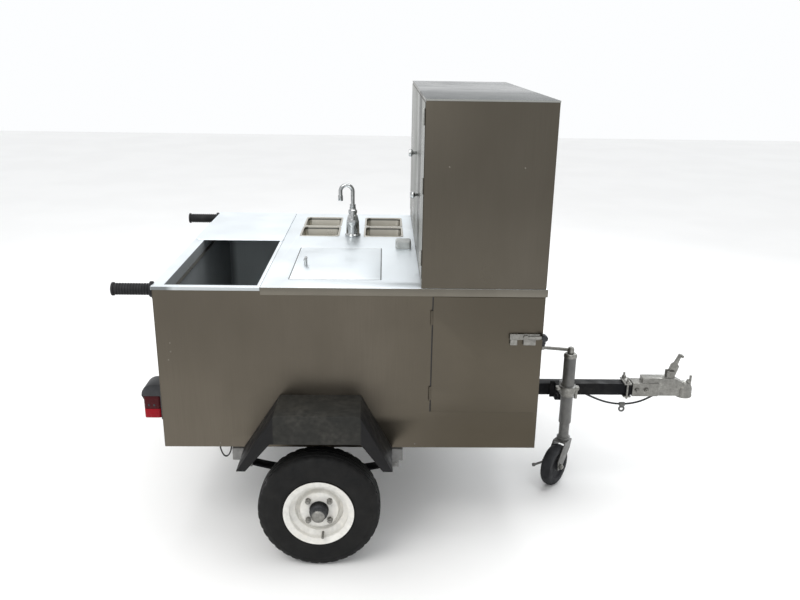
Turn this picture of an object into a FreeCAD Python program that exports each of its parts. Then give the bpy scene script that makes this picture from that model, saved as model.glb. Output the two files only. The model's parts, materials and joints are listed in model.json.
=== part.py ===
import FreeCAD, Part
import math
import os

# Push vending cart: a two-wheeled towable food cart with a worktop, four basins and a warming cabinet.
# Frame: +X towards the tow coupler, +Y to the far side, +Z up, millimetres.
# The origin is on the ground, under the middle of the overall box.

V = FreeCAD.Vector

# ---------------------------------------------------------------- driving dimensions
SHEET = 2.0                 # stainless sheet of the body
GAP = 0.3                   # clearance between parts that move on each other
BODY_X0, BODY_X1 = -950.0, 320.0
BODY_Y = 565.0              # half width of the body
BODY_Z0 = 360.0             # underside of the body
DECK_Z = 934.0              # worktop surface
WORKTOP_X0 = -604.0         # seam between the rear bay and the worktop
WORKTOP_LIP = 26.0          # drop of the folded worktop edge
CABINET_X0 = -85.0
CABINET_TOP = 1528.0
CABINET_RAIL = 36.0         # height of the rail under the cabinet doors
TUBE = 45.0                 # height of the cross tubes under the floor
TUBE_SPANS = ((-725.0, -650.0), (-210.0, -135.0))   # X from and to, of each cross tube
TUBE_END_Y = 550.0
TUBE_Z1 = 345.0
BAR_END_Y = 500.0           # end of the bars between the tubes and the floor
SPRING_Y = 518.0              # middle of a leaf spring
AXLE_X = -415.0
WHEEL_Y = 680.0             # half track
TYRE_R = 204.5              # 4.80-8 trailer tyre
TYRE_HALF = 58.0
RIM_R = 117.5               # rim flange of an 8 inch wheel
LUG_RING = 50.8             # 4 studs on a 101.6 mm circle
EYE_Z = 287.0               # leaf spring eyes
EYE_DX = 255.0              # from the axle to an eye
PACK_Z0, PACK_Z1 = 226.0, 246.0     # leaf pack where it sits on the axle
TONGUE_HALF = 25.0          # 50 mm square tongue tube
TONGUE_Z0, TONGUE_Z1 = 310.0, 360.0
COUPLER_X = 1050.0          # centre of the tow ball
COUPLER_Z = 330.0
BALL_R = 25.4               # socket for a 50 mm ball
COUPLER_WALL = 9.6
LEVER_PIN = (985.0, 398.0)  # X and Z of the coupler's latch pin
JACK_X, JACK_Y = 525.0, -150.0
JACK_SEAT_Y = -112.5        # where the jack's collar meets its bracket
COLLAR_Z0, COLLAR_Z1 = 366.0, 418.0
CRANK_REACH = 110.0
CRANK_Z = 560.0
CRANK_TURN = 168.0          # degrees: the crank points back and a little to the far side
CASTER_TRAIL = 62.0
CASTER_R = 84.0
CASTER_HALF = 20.0
CASTER_TURN = -40.0         # degrees, how the caster stands
CROWN_Z = 170.0             # underside of the caster fork's crown
BRAKE_PIN = (-66.0, 106.0)  # Y and Z of the brake lever's pin, before the caster is turned
HANDLE_Y, HANDLE_Z = 535.0, 915.0
LIGHT_Y = 505.0
LIGHT_HALF = 38.0           # half width of a tail light
HOOD_Z0, HOOD_Z1 = 537.0, 580.0     # hood of a tail light
LENS_Z0, LENS_SPLIT_Z = 455.5, 488.4    # foot of the lower lens, and the joint under the upper one
BASIN_X = (-468.0, -208.0)
BASIN_Y = (222.0, 404.0)
BASIN_LONG, BASIN_WIDE, BASIN_DEEP = 162.0, 176.0, 150.0    # a 1/6 size pan
LID_X0, LID_X1 = -521.0, -217.0     # lift-out lid over the steam pan
LID_Y0, LID_Y1 = -470.0, -55.0
BIN_X0, BIN_X1 = -915.0, -616.0     # mouth of the bin
BIN_Y = 545.0
BIN_FLOOR = 520.0
PAN_FLOOR = 800.0           # inside floor of the steam pan
TANK_Z0, TANK_Z1 = 362.0, 590.0     # water tanks, standing on the floor pan
FAUCET_X, FAUCET_Y = -333.0, 160.0
KNOB_X, KNOB_Y = -131.5, -30.0
KNOB_HEIGHT = 29.0          # low enough for the cabinet door to pass over it
DOOR_X0, DOOR_X1 = -44.0, 318.0     # gas compartment door, near side
DOOR_Z0, DOOR_Z1 = 497.0, 906.0
DOOR_PIN_X = -50.0
DOOR_FACE = -567.5                  # outer face of the compartment door
LATCH_X0, LATCH_X1 = 209.0, 308.0
LATCH_Z0, LATCH_Z1 = 744.0, 784.0
LATCH_PIN_X, LATCH_PIN_Z = 262.0, 774.0
LEAF_SPLIT_Y = -30.0                # gap between the cabinet door and the fixed panel
LEAF_Z0, LEAF_Z1 = 966.0, 1516.0    # lower and upper edge of the cabinet's two leaves
CABINET_PIN_X, CABINET_PIN_Y = -91.3, -564.0
DOOR_SKIN_X = -87.3                 # outer face of the cabinet door
PULL_Y, PULL_Z = -52.0, 1299.0
TURN_Y, TURN_Z = -214.0, 1173.0
CABLE_R = 4.0
# Route of the safety cable under the tongue, from its rear end to the coupler.
CABLE_ROUTE = ((640.0, 0.0, 304.0), (686.0, 0.0, 281.0), (742.0, 2.0, 262.0), (800.0, 3.0, 255.0),
               (852.0, 2.0, 262.0), (896.0, 0.0, 279.0), (931.0, 0.0, 301.6))

# ---------------------------------------------------------------- shape helpers


def box(x0, x1, y0, y1, z0, z1):
    """Box between two corners."""
    return Part.makeBox(x1 - x0, y1 - y0, z1 - z0, V(x0, y0, z0))


def rod(radius, start, end):
    """Round bar from one point to another."""
    way = V(*end) - V(*start)
    return Part.makeCylinder(radius, way.Length, V(*start), way)


def pipe(outer, inner, start, end):
    """Round tube from one point to another."""
    return rod(outer, start, end).cut(rod(inner, start, end))


def fuse(*shapes):
    """One clean solid from touching shapes."""
    return shapes[0].multiFuse(list(shapes[1:])).removeSplitter()


def group(shapes):
    """Separate solids that share one node."""
    return Part.makeCompound(list(shapes))


def mirrored(shape):
    """The same piece on the other side of the centre plane."""
    return shape.mirror(V(0, 0, 0), V(0, 1, 0))


def both(shape):
    """A near piece and its far twin."""
    return group([shape, mirrored(shape)])


def outline_xz(points, y0, y1):
    """Plate with an outline in the XZ plane, from y0 to y1."""
    wire = Part.makePolygon([V(x, y0, z) for x, z in points + points[:1]])
    return Part.Face(wire).extrude(V(0, y1 - y0, 0))


def turned(profile, centre, axis):
    """Solid of revolution from (radius, height) points along an axis."""
    wire = Part.makePolygon([V(r, 0, h) for r, h in profile + profile[:1]])
    solid = Part.Face(wire).revolve(V(0, 0, 0), V(0, 0, 1), 360)
    solid.Placement = FreeCAD.Placement(V(*centre), FreeCAD.Rotation(V(0, 0, 1), V(*axis)))
    return solid


def soft_box(x0, x1, y0, y1, z0, z1, radius, axis="Z"):
    """Box whose edges along one axis are rounded."""
    solid = box(x0, x1, y0, y1, z0, z1)
    way = {"X": V(1, 0, 0), "Y": V(0, 1, 0), "Z": V(0, 0, 1)}[axis]
    edges = [edge for edge in solid.Edges if edge.tangentAt(edge.FirstParameter).cross(way).Length < 1e-6]
    return solid.makeFillet(radius, edges)


def ring_of(shape, count, centre, axis):
    """Copies of a shape, evenly round an axis."""
    copies = []
    for step in range(count):
        copy = shape.copy()
        copy.rotate(V(*centre), V(*axis), step * 360.0 / count)
        copies.append(copy)
    return copies


# ---------------------------------------------------------------- frame and body


def cross_tube(x0, x1):
    """Near half of a capped square tube across the cart, with the bar that packs it up to the floor."""
    tube = box(x0, x1, TONGUE_HALF, TUBE_END_Y, TUBE_Z1 - TUBE, TUBE_Z1)
    hollow = box(x0 + 3, x1 - 3, TONGUE_HALF + 3, TUBE_END_Y - 3, TUBE_Z1 - TUBE + 3, TUBE_Z1 - 3)
    return fuse(tube.cut(hollow), box(x0 + 10, x1 - 10, TONGUE_HALF, BAR_END_Y, TUBE_Z1, BODY_Z0))


def chassis_frame():
    """Cross tubes with the spring hangers under their ends, and two floor bars between them."""
    pieces = [cross_tube(*span) for span in TUBE_SPANS]
    pieces.append(box(AXLE_X - 20, AXLE_X + 20, TONGUE_HALF, BAR_END_Y, TUBE_Z1, BODY_Z0))
    pieces.append(box(240.0, 300.0, TONGUE_HALF, BAR_END_Y, TUBE_Z1, BODY_Z0))
    for x in (AXLE_X - EYE_DX, AXLE_X + EYE_DX):
        pin = rod(7, (x, SPRING_Y - 34, EYE_Z), (x, SPRING_Y + 34, EYE_Z))
        cheeks = [box(x - 12, x + 12, y - 2, y + 2, EYE_Z - 14, TUBE_Z1 - TUBE)
                  for y in (SPRING_Y - 28, SPRING_Y + 28)]
        pieces.append(fuse(pin, *cheeks))
    return both(group(pieces))


def tongue_tube():
    """Square drawbar tube from the rear cross member to the coupler."""
    bar = box(TUBE_SPANS[0][0], 905.0, -TONGUE_HALF, TONGUE_HALF, TONGUE_Z0, TONGUE_Z1)
    hollow = box(TUBE_SPANS[0][0], 905.0, 3 - TONGUE_HALF, TONGUE_HALF - 3, TONGUE_Z0 + 3, TONGUE_Z1 - 3)
    return bar.cut(hollow)


def floor_pan():
    """Sheet floor of the body."""
    return box(BODY_X0 + SHEET, BODY_X1 - SHEET, SHEET - BODY_Y, BODY_Y - SHEET, BODY_Z0, BODY_Z0 + SHEET)


def rear_panel():
    """Rear sheet, full width."""
    return box(BODY_X0, BODY_X0 + SHEET, -BODY_Y, BODY_Y, BODY_Z0, DECK_Z - SHEET)


def front_panel():
    """Front sheet, full width."""
    return box(BODY_X1 - SHEET, BODY_X1, -BODY_Y, BODY_Y, BODY_Z0, DECK_Z - SHEET)


def far_side_panel():
    """Far side sheet."""
    return box(BODY_X0 + SHEET, BODY_X1 - SHEET, BODY_Y - SHEET, BODY_Y, BODY_Z0, DECK_Z - SHEET)


def near_side_panel():
    """Near side sheet with the doorway of the gas compartment."""
    sheet = mirrored(far_side_panel())
    doorway = box(DOOR_X0 + 16, DOOR_X1 - 18, -BODY_Y - 1, SHEET - BODY_Y + 1, DOOR_Z0 + 14, DOOR_Z1 - 14)
    return sheet.cut(doorway)


def compartment_door():
    """Overlay door on the near side, with a folded stiffening edge inside."""
    plate = box(DOOR_X0, DOOR_X1, -BODY_Y - 0.5 - SHEET, -BODY_Y - 0.5, DOOR_Z0, DOOR_Z1)
    fold = box(DOOR_X0 + 40, DOOR_X1 - 40, -BODY_Y - 0.5, -BODY_Y + 8, DOOR_Z0 + 40, DOOR_Z1 - 40)
    inside = box(DOOR_X0 + 42, DOOR_X1 - 42, -BODY_Y - 0.5, -BODY_Y + 9, DOOR_Z0 + 42, DOOR_Z1 - 42)
    pin_y = -BODY_Y - 3
    knuckles = []
    for z in (540.0, 810.0):
        knuckles.append(rod(2.5, (DOOR_PIN_X, pin_y, z), (DOOR_PIN_X, pin_y, z + 50)))
        knuckles.append(box(DOOR_PIN_X, DOOR_X0, pin_y, pin_y + 1.8, z, z + 50))
    return fuse(plate, fold.cut(inside), *knuckles)


def door_latch_base():
    """Two feet and a cover plate that carry the turning latch."""
    feet = [box(x0, x1, DOOR_FACE - 8, DOOR_FACE, LATCH_Z0, LATCH_Z1)
            for x0, x1 in ((LATCH_X0 + 2, LATCH_X0 + 26), (LATCH_X0 + 46, LATCH_X1 - 12))]
    bridge = box(LATCH_X0, LATCH_X1, DOOR_FACE - 11, DOOR_FACE - 8, LATCH_Z0 + 20, LATCH_Z1)
    return fuse(bridge, *feet)


def door_latch_handle():
    """Turning lever with a round knob at the corner of the body."""
    y_out = DOOR_FACE - 11 - GAP
    z = LATCH_PIN_Z
    tip_x = 322.0
    hub_disc = rod(9, (LATCH_PIN_X, y_out, z), (LATCH_PIN_X, y_out - 8, z))
    arm = box(LATCH_PIN_X, tip_x, y_out - 7, y_out - 1, z - 5, z + 5)
    knob = rod(10, (tip_x, y_out, z), (tip_x, y_out - 16, z))
    return fuse(hub_disc, arm, knob)


def cabinet_shell():
    """Cabinet box: floor, two sides, front wall, top, and the two rails of the door face."""
    outer = box(CABINET_X0, BODY_X1, -BODY_Y, BODY_Y, DECK_Z, CABINET_TOP)
    inner = box(CABINET_X0 - 1, BODY_X1 - SHEET, SHEET - BODY_Y, BODY_Y - SHEET,
                DECK_Z + SHEET, CABINET_TOP - SHEET)
    sheets = outer.cut(inner)
    low_rail = box(CABINET_X0, CABINET_X0 + SHEET, -BODY_Y, BODY_Y, DECK_Z, DECK_Z + CABINET_RAIL)
    top_rail = box(CABINET_X0, CABINET_X0 + SHEET, -BODY_Y, BODY_Y, CABINET_TOP - 18, CABINET_TOP)
    post = box(CABINET_X0, CABINET_X0 + SHEET, LEAF_SPLIT_Y - 14, LEAF_SPLIT_Y + 14, DECK_Z, CABINET_TOP)
    return fuse(sheets, low_rail, top_rail, post)


def cabinet_shelf():
    """Shelf inside the cabinet, with a folded front edge."""
    z = 1230.0
    plate = box(CABINET_X0 + 12, BODY_X1 - SHEET, SHEET - BODY_Y, BODY_Y - SHEET, z, z + SHEET)
    lip = box(CABINET_X0 + 12, CABINET_X0 + 14, SHEET - BODY_Y, BODY_Y - SHEET, z - 16, z)
    return fuse(plate, lip)


def far_cabinet_panel():
    """Fixed half of the cabinet face, screwed over the opening."""
    return box(CABINET_X0 - SHEET, CABINET_X0, LEAF_SPLIT_Y + 2, BODY_Y - 2, LEAF_Z0, LEAF_Z1)


def near_cabinet_door():
    """Hinged half of the cabinet face, with an edge fold inside."""
    face_x = CABINET_X0 - GAP
    plate = box(face_x - SHEET, face_x, -BODY_Y + 2, LEAF_SPLIT_Y - 2, LEAF_Z0, LEAF_Z1)
    fold = box(face_x, face_x + 10, -BODY_Y + 40, LEAF_SPLIT_Y - 40, LEAF_Z0 + 40, LEAF_Z1 - 40)
    inside = box(face_x, face_x + 11, -BODY_Y + 42, LEAF_SPLIT_Y - 42, LEAF_Z0 + 42, LEAF_Z1 - 42)
    knuckles = []
    for z in (1010.0, 1240.0, 1450.0):
        knuckles.append(rod(3, (CABINET_PIN_X, CABINET_PIN_Y, z), (CABINET_PIN_X, CABINET_PIN_Y, z + 50)))
        knuckles.append(box(CABINET_PIN_X, face_x - SHEET, CABINET_PIN_Y, CABINET_PIN_Y + 2.5, z, z + 50))
    return fuse(plate, fold.cut(inside), *knuckles)


def round_knob(radius, height):
    """Waisted knob profile, as (radius, height) points."""
    return [(0, 0), (radius * 0.42, 0), (radius * 0.42, height * 0.45), (radius * 0.95, height * 0.6),
            (radius, height * 0.8), (radius * 0.85, height), (0, height)]


def cabinet_door_pull():
    """Pull knob at the free edge of the cabinet door."""
    return turned(round_knob(14, 30), (DOOR_SKIN_X, PULL_Y, PULL_Z), (-1, 0, 0))


def cabinet_turn_latch():
    """Turning knob that works the cabinet door's catch: knob and a flat thumb bar."""
    knob = turned(round_knob(12, 22), (DOOR_SKIN_X - GAP, TURN_Y, TURN_Z), (-1, 0, 0))
    bar = box(DOOR_SKIN_X - GAP - 28, DOOR_SKIN_X - GAP - 20, TURN_Y - 3, TURN_Y + 3, TURN_Z - 10, TURN_Z + 10)
    return fuse(knob, bar)


# ---------------------------------------------------------------- worktop, bin, water and gas

def basin_centres():
    """Middles of the four basins."""
    return [(x, y) for x in BASIN_X for y in BASIN_Y]


def worktop():
    """Deck sheet with folded side lips and its cut-outs."""
    x1 = BODY_X1 + 6
    y1 = BODY_Y + SHEET
    deck = box(WORKTOP_X0, x1, -y1, y1, DECK_Z - SHEET, DECK_Z)
    lips = [box(WORKTOP_X0, x1, y, y + SHEET, DECK_Z - WORKTOP_LIP, DECK_Z - SHEET) for y in (-y1, BODY_Y)]
    nose = box(x1 - SHEET, x1, -y1, y1, DECK_Z - WORKTOP_LIP, DECK_Z - SHEET)
    deck = fuse(deck, nose, *lips)
    seal = 3.0
    cuts = [box(LID_X0 - seal, LID_X1 + seal, LID_Y0 - seal, LID_Y1 + seal, DECK_Z - 9, DECK_Z + 1)]
    for x, y in basin_centres():
        cuts.append(box(x - BASIN_LONG / 2 + 5, x + BASIN_LONG / 2 - 5, y - BASIN_WIDE / 2 + 5,
                        y + BASIN_WIDE / 2 - 5, DECK_Z - 9, DECK_Z + 1))
    cuts.append(rod(12, (FAUCET_X, FAUCET_Y, DECK_Z - 9), (FAUCET_X, FAUCET_Y, DECK_Z + 1)))
    return deck.cut(Part.makeCompound(cuts))


def bin_liner():
    """Open tank in the rear bay, hung from its flange."""
    x0, x1 = BODY_X0 - 3, WORKTOP_X0 - 1
    y1 = BODY_Y + SHEET
    flange = box(x0, x1, -y1, y1, DECK_Z - SHEET, DECK_Z)
    hem = box(x0, x0 + SHEET, -y1, y1, DECK_Z - 12, DECK_Z - SHEET)
    sides = [box(x0, x1, y, y + SHEET, DECK_Z - 12, DECK_Z - SHEET) for y in (-y1, BODY_Y)]
    tank = box(BIN_X0 - SHEET, BIN_X1 + SHEET, -BIN_Y - SHEET, BIN_Y + SHEET, BIN_FLOOR - SHEET, DECK_Z)
    mouth = box(BIN_X0, BIN_X1, -BIN_Y, BIN_Y, BIN_FLOOR, DECK_Z + 1)
    return fuse(flange, hem, tank, *sides).cut(mouth)


def bin_lid():
    """Flat cover over the far half of the bin, with a finger notch at one corner."""
    z = DECK_Z + GAP
    plate = box(BODY_X0 - 1, BIN_X1 + 11, 46.0, BODY_Y, z, z + 3)
    notch = box(BODY_X0 - 2, BODY_X0 + 14, 45.0, 66.0, z - 1, z + 4)
    return plate.cut(notch)


def work_lid():
    """Flush lid over the steam pan, stiffened underneath."""
    z = DECK_Z - SHEET + GAP
    plate = box(LID_X0, LID_X1, LID_Y0, LID_Y1, z, z + SHEET)
    rib = box(LID_X0 + 30, LID_X1 - 30, LID_Y0 + 30, LID_Y1 - 30, z - 10, z)
    return fuse(plate, rib.cut(box(LID_X0 + 32, LID_X1 - 32, LID_Y0 + 32, LID_Y1 - 32, z - 11, z)))


def work_lid_knob():
    """T knob: a post with a cross bar."""
    x, y, z = -482.0, -298.0, DECK_Z + GAP
    post = rod(6, (x, y, z), (x, y, z + 18))
    bar = rod(6, (x, y - 18, z + 22), (x, y + 18, z + 22))
    return fuse(post, bar)


def steam_pan():
    """Water pan under the work lid, hung from the deck by its flange."""
    z = DECK_Z - SHEET
    flange = box(LID_X0 - 18, LID_X1 + 18, LID_Y0 - 18, LID_Y1 + 18, z - SHEET, z)
    x0, x1, y0, y1 = LID_X0 + 16, LID_X1 - 16, LID_Y0 + 16, LID_Y1 - 16
    shell = box(x0 - SHEET, x1 + SHEET, y0 - SHEET, y1 + SHEET, PAN_FLOOR - SHEET, z)
    return fuse(flange, shell).cut(box(x0, x1, y0, y1, PAN_FLOOR, z + 1))


def burner():
    """Ring burner on three legs under the steam pan, with its mixer tube."""
    x, y = (LID_X0 + LID_X1) / 2, (LID_Y0 + LID_Y1) / 2
    z = 740.0
    ring = pipe(80, 50, (x, y, z), (x, y, z + 22))
    bar = box(x - 60, x + 60, y - 8, y + 8, z + 2, z + 18)
    mixer = rod(9, (x + 60, y, z + 10), (x + 210, y, z + 10))
    legs = ring_of(rod(5, (x + 65, y, BODY_Z0 + SHEET), (x + 65, y, z)), 3, (x, y, 0), (0, 0, 1))
    return fuse(ring, bar, mixer, *legs)


def wash_basins():
    """Four drop-in pans with flanges on the deck."""
    wall = 1.5
    pans = []
    for x, y in basin_centres():
        half_x, half_y = BASIN_LONG / 2, BASIN_WIDE / 2
        flange = soft_box(x - half_x, x + half_x, y - half_y, y + half_y, DECK_Z, DECK_Z + wall, 14)
        shell = soft_box(x - half_x + 6, x + half_x - 6, y - half_y + 6, y + half_y - 6,
                         DECK_Z - BASIN_DEEP, DECK_Z + wall, 20)
        well = soft_box(x - half_x + 6 + wall, x + half_x - 6 - wall, y - half_y + 6 + wall,
                        y + half_y - 6 - wall, DECK_Z - BASIN_DEEP + wall, DECK_Z + 9, 18.5)
        drain = rod(14, (x, y, DECK_Z - BASIN_DEEP - 1), (x, y, DECK_Z - BASIN_DEEP + 4))
        pans.append(fuse(flange, shell).cut(well).cut(drain))
    return group(pans)


def drain_pipes():
    """Drain tails under the basins, joined by a header to the waste tank."""
    top = DECK_Z - BASIN_DEEP
    z = 700.0
    tails = [rod(17, (x, y, z), (x, y, top)) for x, y in basin_centres()]
    header_y = sum(BASIN_Y) / 2
    branches = [rod(14, (x, BASIN_Y[0], z), (x, BASIN_Y[1], z)) for x in BASIN_X]
    header = rod(14, (BASIN_X[0], header_y, z), (BASIN_X[1], header_y, z))
    drop = rod(14, (-200.0, header_y, TANK_Z1), (-200.0, header_y, z))
    return fuse(header, drop, *tails, *branches)


def water_tanks():
    """Fresh tank behind, waste tank ahead, each with a filler neck."""
    tanks = []
    wall = 5.0
    for x0, x1 in ((-580.0, -345.0), (-325.0, -90.0)):
        tank = soft_box(x0, x1, 110.0, 530.0, TANK_Z0, TANK_Z1, 25)
        neck = rod(24, (x0 + 50, 480.0, TANK_Z1), (x0 + 50, 480.0, TANK_Z1 + 25))
        inside = soft_box(x0 + wall, x1 - wall, 110.0 + wall, 530.0 - wall, TANK_Z0 + wall, TANK_Z1 - wall, 20)
        tanks.append(fuse(tank, neck).cut(inside))
    return group(tanks)


def water_pump():
    """Small pump with motor and outlet on the floor ahead of the tanks."""
    z = TANK_Z0
    foot = box(-60.0, 90.0, 180.0, 260.0, z, z + 8)
    motor = rod(32, (-50.0, 220.0, z + 44), (40.0, 220.0, z + 44))
    saddle = box(-45.0, 35.0, 196.0, 244.0, z + 8, z + 30)
    head = box(40.0, 80.0, 188.0, 252.0, z + 8, z + 80)
    outlet = rod(9, (60.0, 220.0, z + 80), (60.0, 220.0, z + 120))
    return fuse(foot, motor, saddle, head, outlet)


def gas_cylinder():
    """Gas cylinder with its foot ring, valve and regulator."""
    x, y, z = 140.0, -420.0, BODY_Z0 + SHEET
    profile = [(0, 20), (70, 20), (105, 50), (110, 70), (110, 330), (100, 368), (60, 392), (0, 400)]
    bottle = turned(profile, (x, y, z), (0, 0, 1))
    foot = pipe(85, 80, (x, y, z), (x, y, z + 35))
    wall = 3.0
    hollow = turned([(0, 20 + wall), (68, 20 + wall), (102, 51), (107, 70), (107, 329), (98, 365), (59, 389),
                     (0, 395)], (x, y, z), (0, 0, 1))
    valve = rod(12, (x, y, z + 396), (x, y, z + 440))
    wheel = rod(22, (x, y, z + 440), (x, y, z + 455))
    regulator = rod(28, (x + 14, y + 46, z + 405), (x + 14, y + 46, z + 438))
    inlet = rod(8, (x, y, z + 421), (x + 10, y + 34, z + 421))
    return fuse(bottle.cut(hollow), foot, valve, wheel, inlet, regulator)


def faucet_body():
    """Flange, tapered pillar and collar of the faucet, with its tail under the deck."""
    profile = [(0, -60), (9, -60), (9, 0), (32, 0), (32, 5), (27, 9), (25, 60), (20, 82), (16, 86),
               (16, 92), (18, 94), (18, 104), (13, 108), (13, 116), (0, 116)]
    pillar = turned(profile, (FAUCET_X, FAUCET_Y, DECK_Z), (0, 0, 1))
    boss = rod(11, (FAUCET_X, FAUCET_Y - 20, DECK_Z + 62), (FAUCET_X, FAUCET_Y - 30, DECK_Z + 62))
    return fuse(pillar, boss)


def faucet_spout():
    """Gooseneck that swivels on the pillar, with its aerator."""
    bend = 24.5
    z0 = DECK_Z + 116 + GAP
    top = 1147.0 - 8 - bend
    tip_z = 1082.0
    path = Part.Wire([
        Part.LineSegment(V(FAUCET_X, FAUCET_Y, z0), V(FAUCET_X, FAUCET_Y, top)).toShape(),
        Part.Arc(V(FAUCET_X, FAUCET_Y, top), V(FAUCET_X - bend, FAUCET_Y, top + bend),
                 V(FAUCET_X - 2 * bend, FAUCET_Y, top)).toShape(),
        Part.LineSegment(V(FAUCET_X - 2 * bend, FAUCET_Y, top),
                         V(FAUCET_X - 2 * bend, FAUCET_Y, tip_z)).toShape()])
    section = Part.Wire(Part.Circle(V(FAUCET_X, FAUCET_Y, z0), V(0, 0, 1), 8).toShape())
    neck = path.makePipeShell([section], True, False)
    collar = rod(12, (FAUCET_X, FAUCET_Y, z0), (FAUCET_X, FAUCET_Y, z0 + 12))
    aerator = rod(10, (FAUCET_X - 2 * bend, FAUCET_Y, tip_z - 6), (FAUCET_X - 2 * bend, FAUCET_Y, tip_z + 16))
    return fuse(neck, collar, aerator)


def faucet_lever():
    """Front lever of the faucet: a short barrel with a paddle."""
    y = FAUCET_Y - 30 - GAP
    z = DECK_Z + 62
    barrel = rod(13, (FAUCET_X, y, z), (FAUCET_X, y - 22, z))
    paddle = soft_box(FAUCET_X - 7, FAUCET_X + 7, y - 20, y - 12, z, z + 46, 3.5, "Z")
    return fuse(barrel, paddle)


def burner_knob():
    """Rounded square control knob on the deck, with a round bore for its spindle."""
    z = DECK_Z + GAP
    top = z + KNOB_HEIGHT
    cap = soft_box(KNOB_X - 30, KNOB_X + 30, KNOB_Y - 30, KNOB_Y + 30, z, top, 12)
    top_edges = [edge for edge in cap.Edges if abs(edge.BoundBox.ZMin - top) < 1e-3]
    cap = cap.makeFillet(7, top_edges)
    return cap.cut(rod(4, (KNOB_X, KNOB_Y, z - 1), (KNOB_X, KNOB_Y, z + 16)))


# ---------------------------------------------------------------- rear fittings

def push_handles():
    """Two push handles: base flange, ribbed grip, end flange."""
    x0 = BODY_X0 - 3
    spans = [(26, 0, 9), (17, 9, 132)]
    spans += [(19.5, 15 + 9 * step, 20 + 9 * step) for step in range(12)]
    spans.append((22, 125, 132))
    rings = [rod(radius, (x0 - start, -HANDLE_Y, HANDLE_Z), (x0 - end, -HANDLE_Y, HANDLE_Z))
             for radius, start, end in spans]
    pad = box(x0, BODY_X0, -HANDLE_Y - 24, 24 - HANDLE_Y, HANDLE_Z - 24, HANDLE_Z + 6)
    return both(fuse(pad, *rings))


def light_housings():
    """Back plate, rounded hood and inner cheek of each tail light."""
    x = BODY_X0
    outer_y, inner_y = -LIGHT_Y - LIGHT_HALF, LIGHT_HALF - LIGHT_Y
    plate = box(x - 10, x, outer_y, inner_y, LENS_Z0 - 5, HOOD_Z1)
    hood = box(x - 72, x - 10, outer_y, inner_y, HOOD_Z0, HOOD_Z1)
    brow = [edge for edge in hood.Edges if edge.BoundBox.XMax < x - 71 and edge.BoundBox.ZMin > HOOD_Z1 - 1]
    cheek = box(x - 72, x - 10, inner_y - 4, inner_y, LENS_Z0 - 5, HOOD_Z0)
    return both(fuse(plate, hood.makeFillet(40, brow), cheek))


def light_lenses():
    """Upper and lower lens of each tail light."""
    x = BODY_X0 - 10
    lenses = []
    outer_y, inner_y = 3 - LIGHT_Y - LIGHT_HALF, LIGHT_HALF - LIGHT_Y - 5
    for z0, z1 in ((LENS_SPLIT_Z + 0.4, HOOD_Z0 - 0.5), (LENS_Z0, LENS_SPLIT_Z)):
        lenses.append(soft_box(x - 58, x, outer_y, inner_y, z0, z1, 10))
    return both(group(lenses))


def fenders():
    """Three-facet fenders with an outer skirt and a stay down to the tyre."""
    sheet = 3.0
    outer_y = 730.0
    tips = ((-680.0, BODY_Z0), (-551.0, 557.0), (-279.0, 557.0), (-172.0, BODY_Z0))
    inner = [(x, z - sheet) for x, z in tips[1:3]]
    inner = [(tips[0][0] + sheet, BODY_Z0), *inner, (tips[3][0] - sheet, BODY_Z0)]
    top = outline_xz(list(tips) + inner[::-1], BODY_Y, outer_y)
    skirt = list(tips) + [(-204.0, BODY_Z0), (-276.0, 458.0), (-568.0, 458.0), (-650.0, BODY_Z0)]
    skirt = outline_xz(skirt, outer_y - sheet, outer_y)
    stay = box(AXLE_X - 16, AXLE_X + 16, BODY_Y + 6, BODY_Y + 12, 374.0, 557.0 - sheet)
    fender = fuse(top, skirt, stay)
    return group([mirrored(fender), fender])


# ---------------------------------------------------------------- axle and wheels


def axle_beam():
    """Square axle with a spindle at each end, spring seats and U-bolt plates."""
    beam = box(AXLE_X - 20, AXLE_X + 20, -598.0, 598.0, TYRE_R - 20, TYRE_R + 20)
    spindles = [rod(12.4, (AXLE_X, side * 598.0, TYRE_R), (AXLE_X, side * 722.0, TYRE_R)) for side in (-1, 1)]
    plates = [box(AXLE_X - 32, AXLE_X + 32, side * SPRING_Y - 32, side * SPRING_Y + 32, TYRE_R + 20, PACK_Z0)
              for side in (-1, 1)]
    return fuse(beam, *spindles, *plates)


def leaf_springs():
    """Two leaf packs: an arched main leaf with rolled eyes, and shorter leaves under it."""
    half = 22.0
    rise = EYE_Z - PACK_Z1
    leaf = 6.0
    main = []
    steps = 8
    for step in range(-steps, steps + 1):
        x = AXLE_X + EYE_DX * step / steps
        main.append((x, PACK_Z1 - leaf + rise * (step / steps) ** 2 - 4 * abs(step / steps)))
    outline = main + [(x, z + leaf) for x, z in main[::-1]]
    pieces = [outline_xz(outline, SPRING_Y - half, SPRING_Y + half)]
    for length, z in ((150.0, PACK_Z1 - leaf - 7), (90.0, PACK_Z0)):
        pieces.append(box(AXLE_X - length, AXLE_X + length, SPRING_Y - half, SPRING_Y + half, z, z + 7))
    seat = box(AXLE_X - 60, AXLE_X + 60, SPRING_Y - half, SPRING_Y + half, PACK_Z0, PACK_Z1 - leaf + 2)
    pieces.append(seat)
    pack = fuse(*pieces)
    for side in (-1, 1):
        x = AXLE_X + side * EYE_DX
        eye = rod(12, (x, SPRING_Y - half, EYE_Z), (x, SPRING_Y + half, EYE_Z))
        pack = fuse(pack, eye).cut(rod(7.3, (x, SPRING_Y - half - 1, EYE_Z), (x, SPRING_Y + half + 1, EYE_Z)))
    return both(pack)


def wheel_turned(profile):
    """Near wheel piece from (radius, distance outboard of the wheel's middle) points."""
    return turned(profile, (AXLE_X, -WHEEL_Y, TYRE_R), (0, -1, 0))


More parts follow.
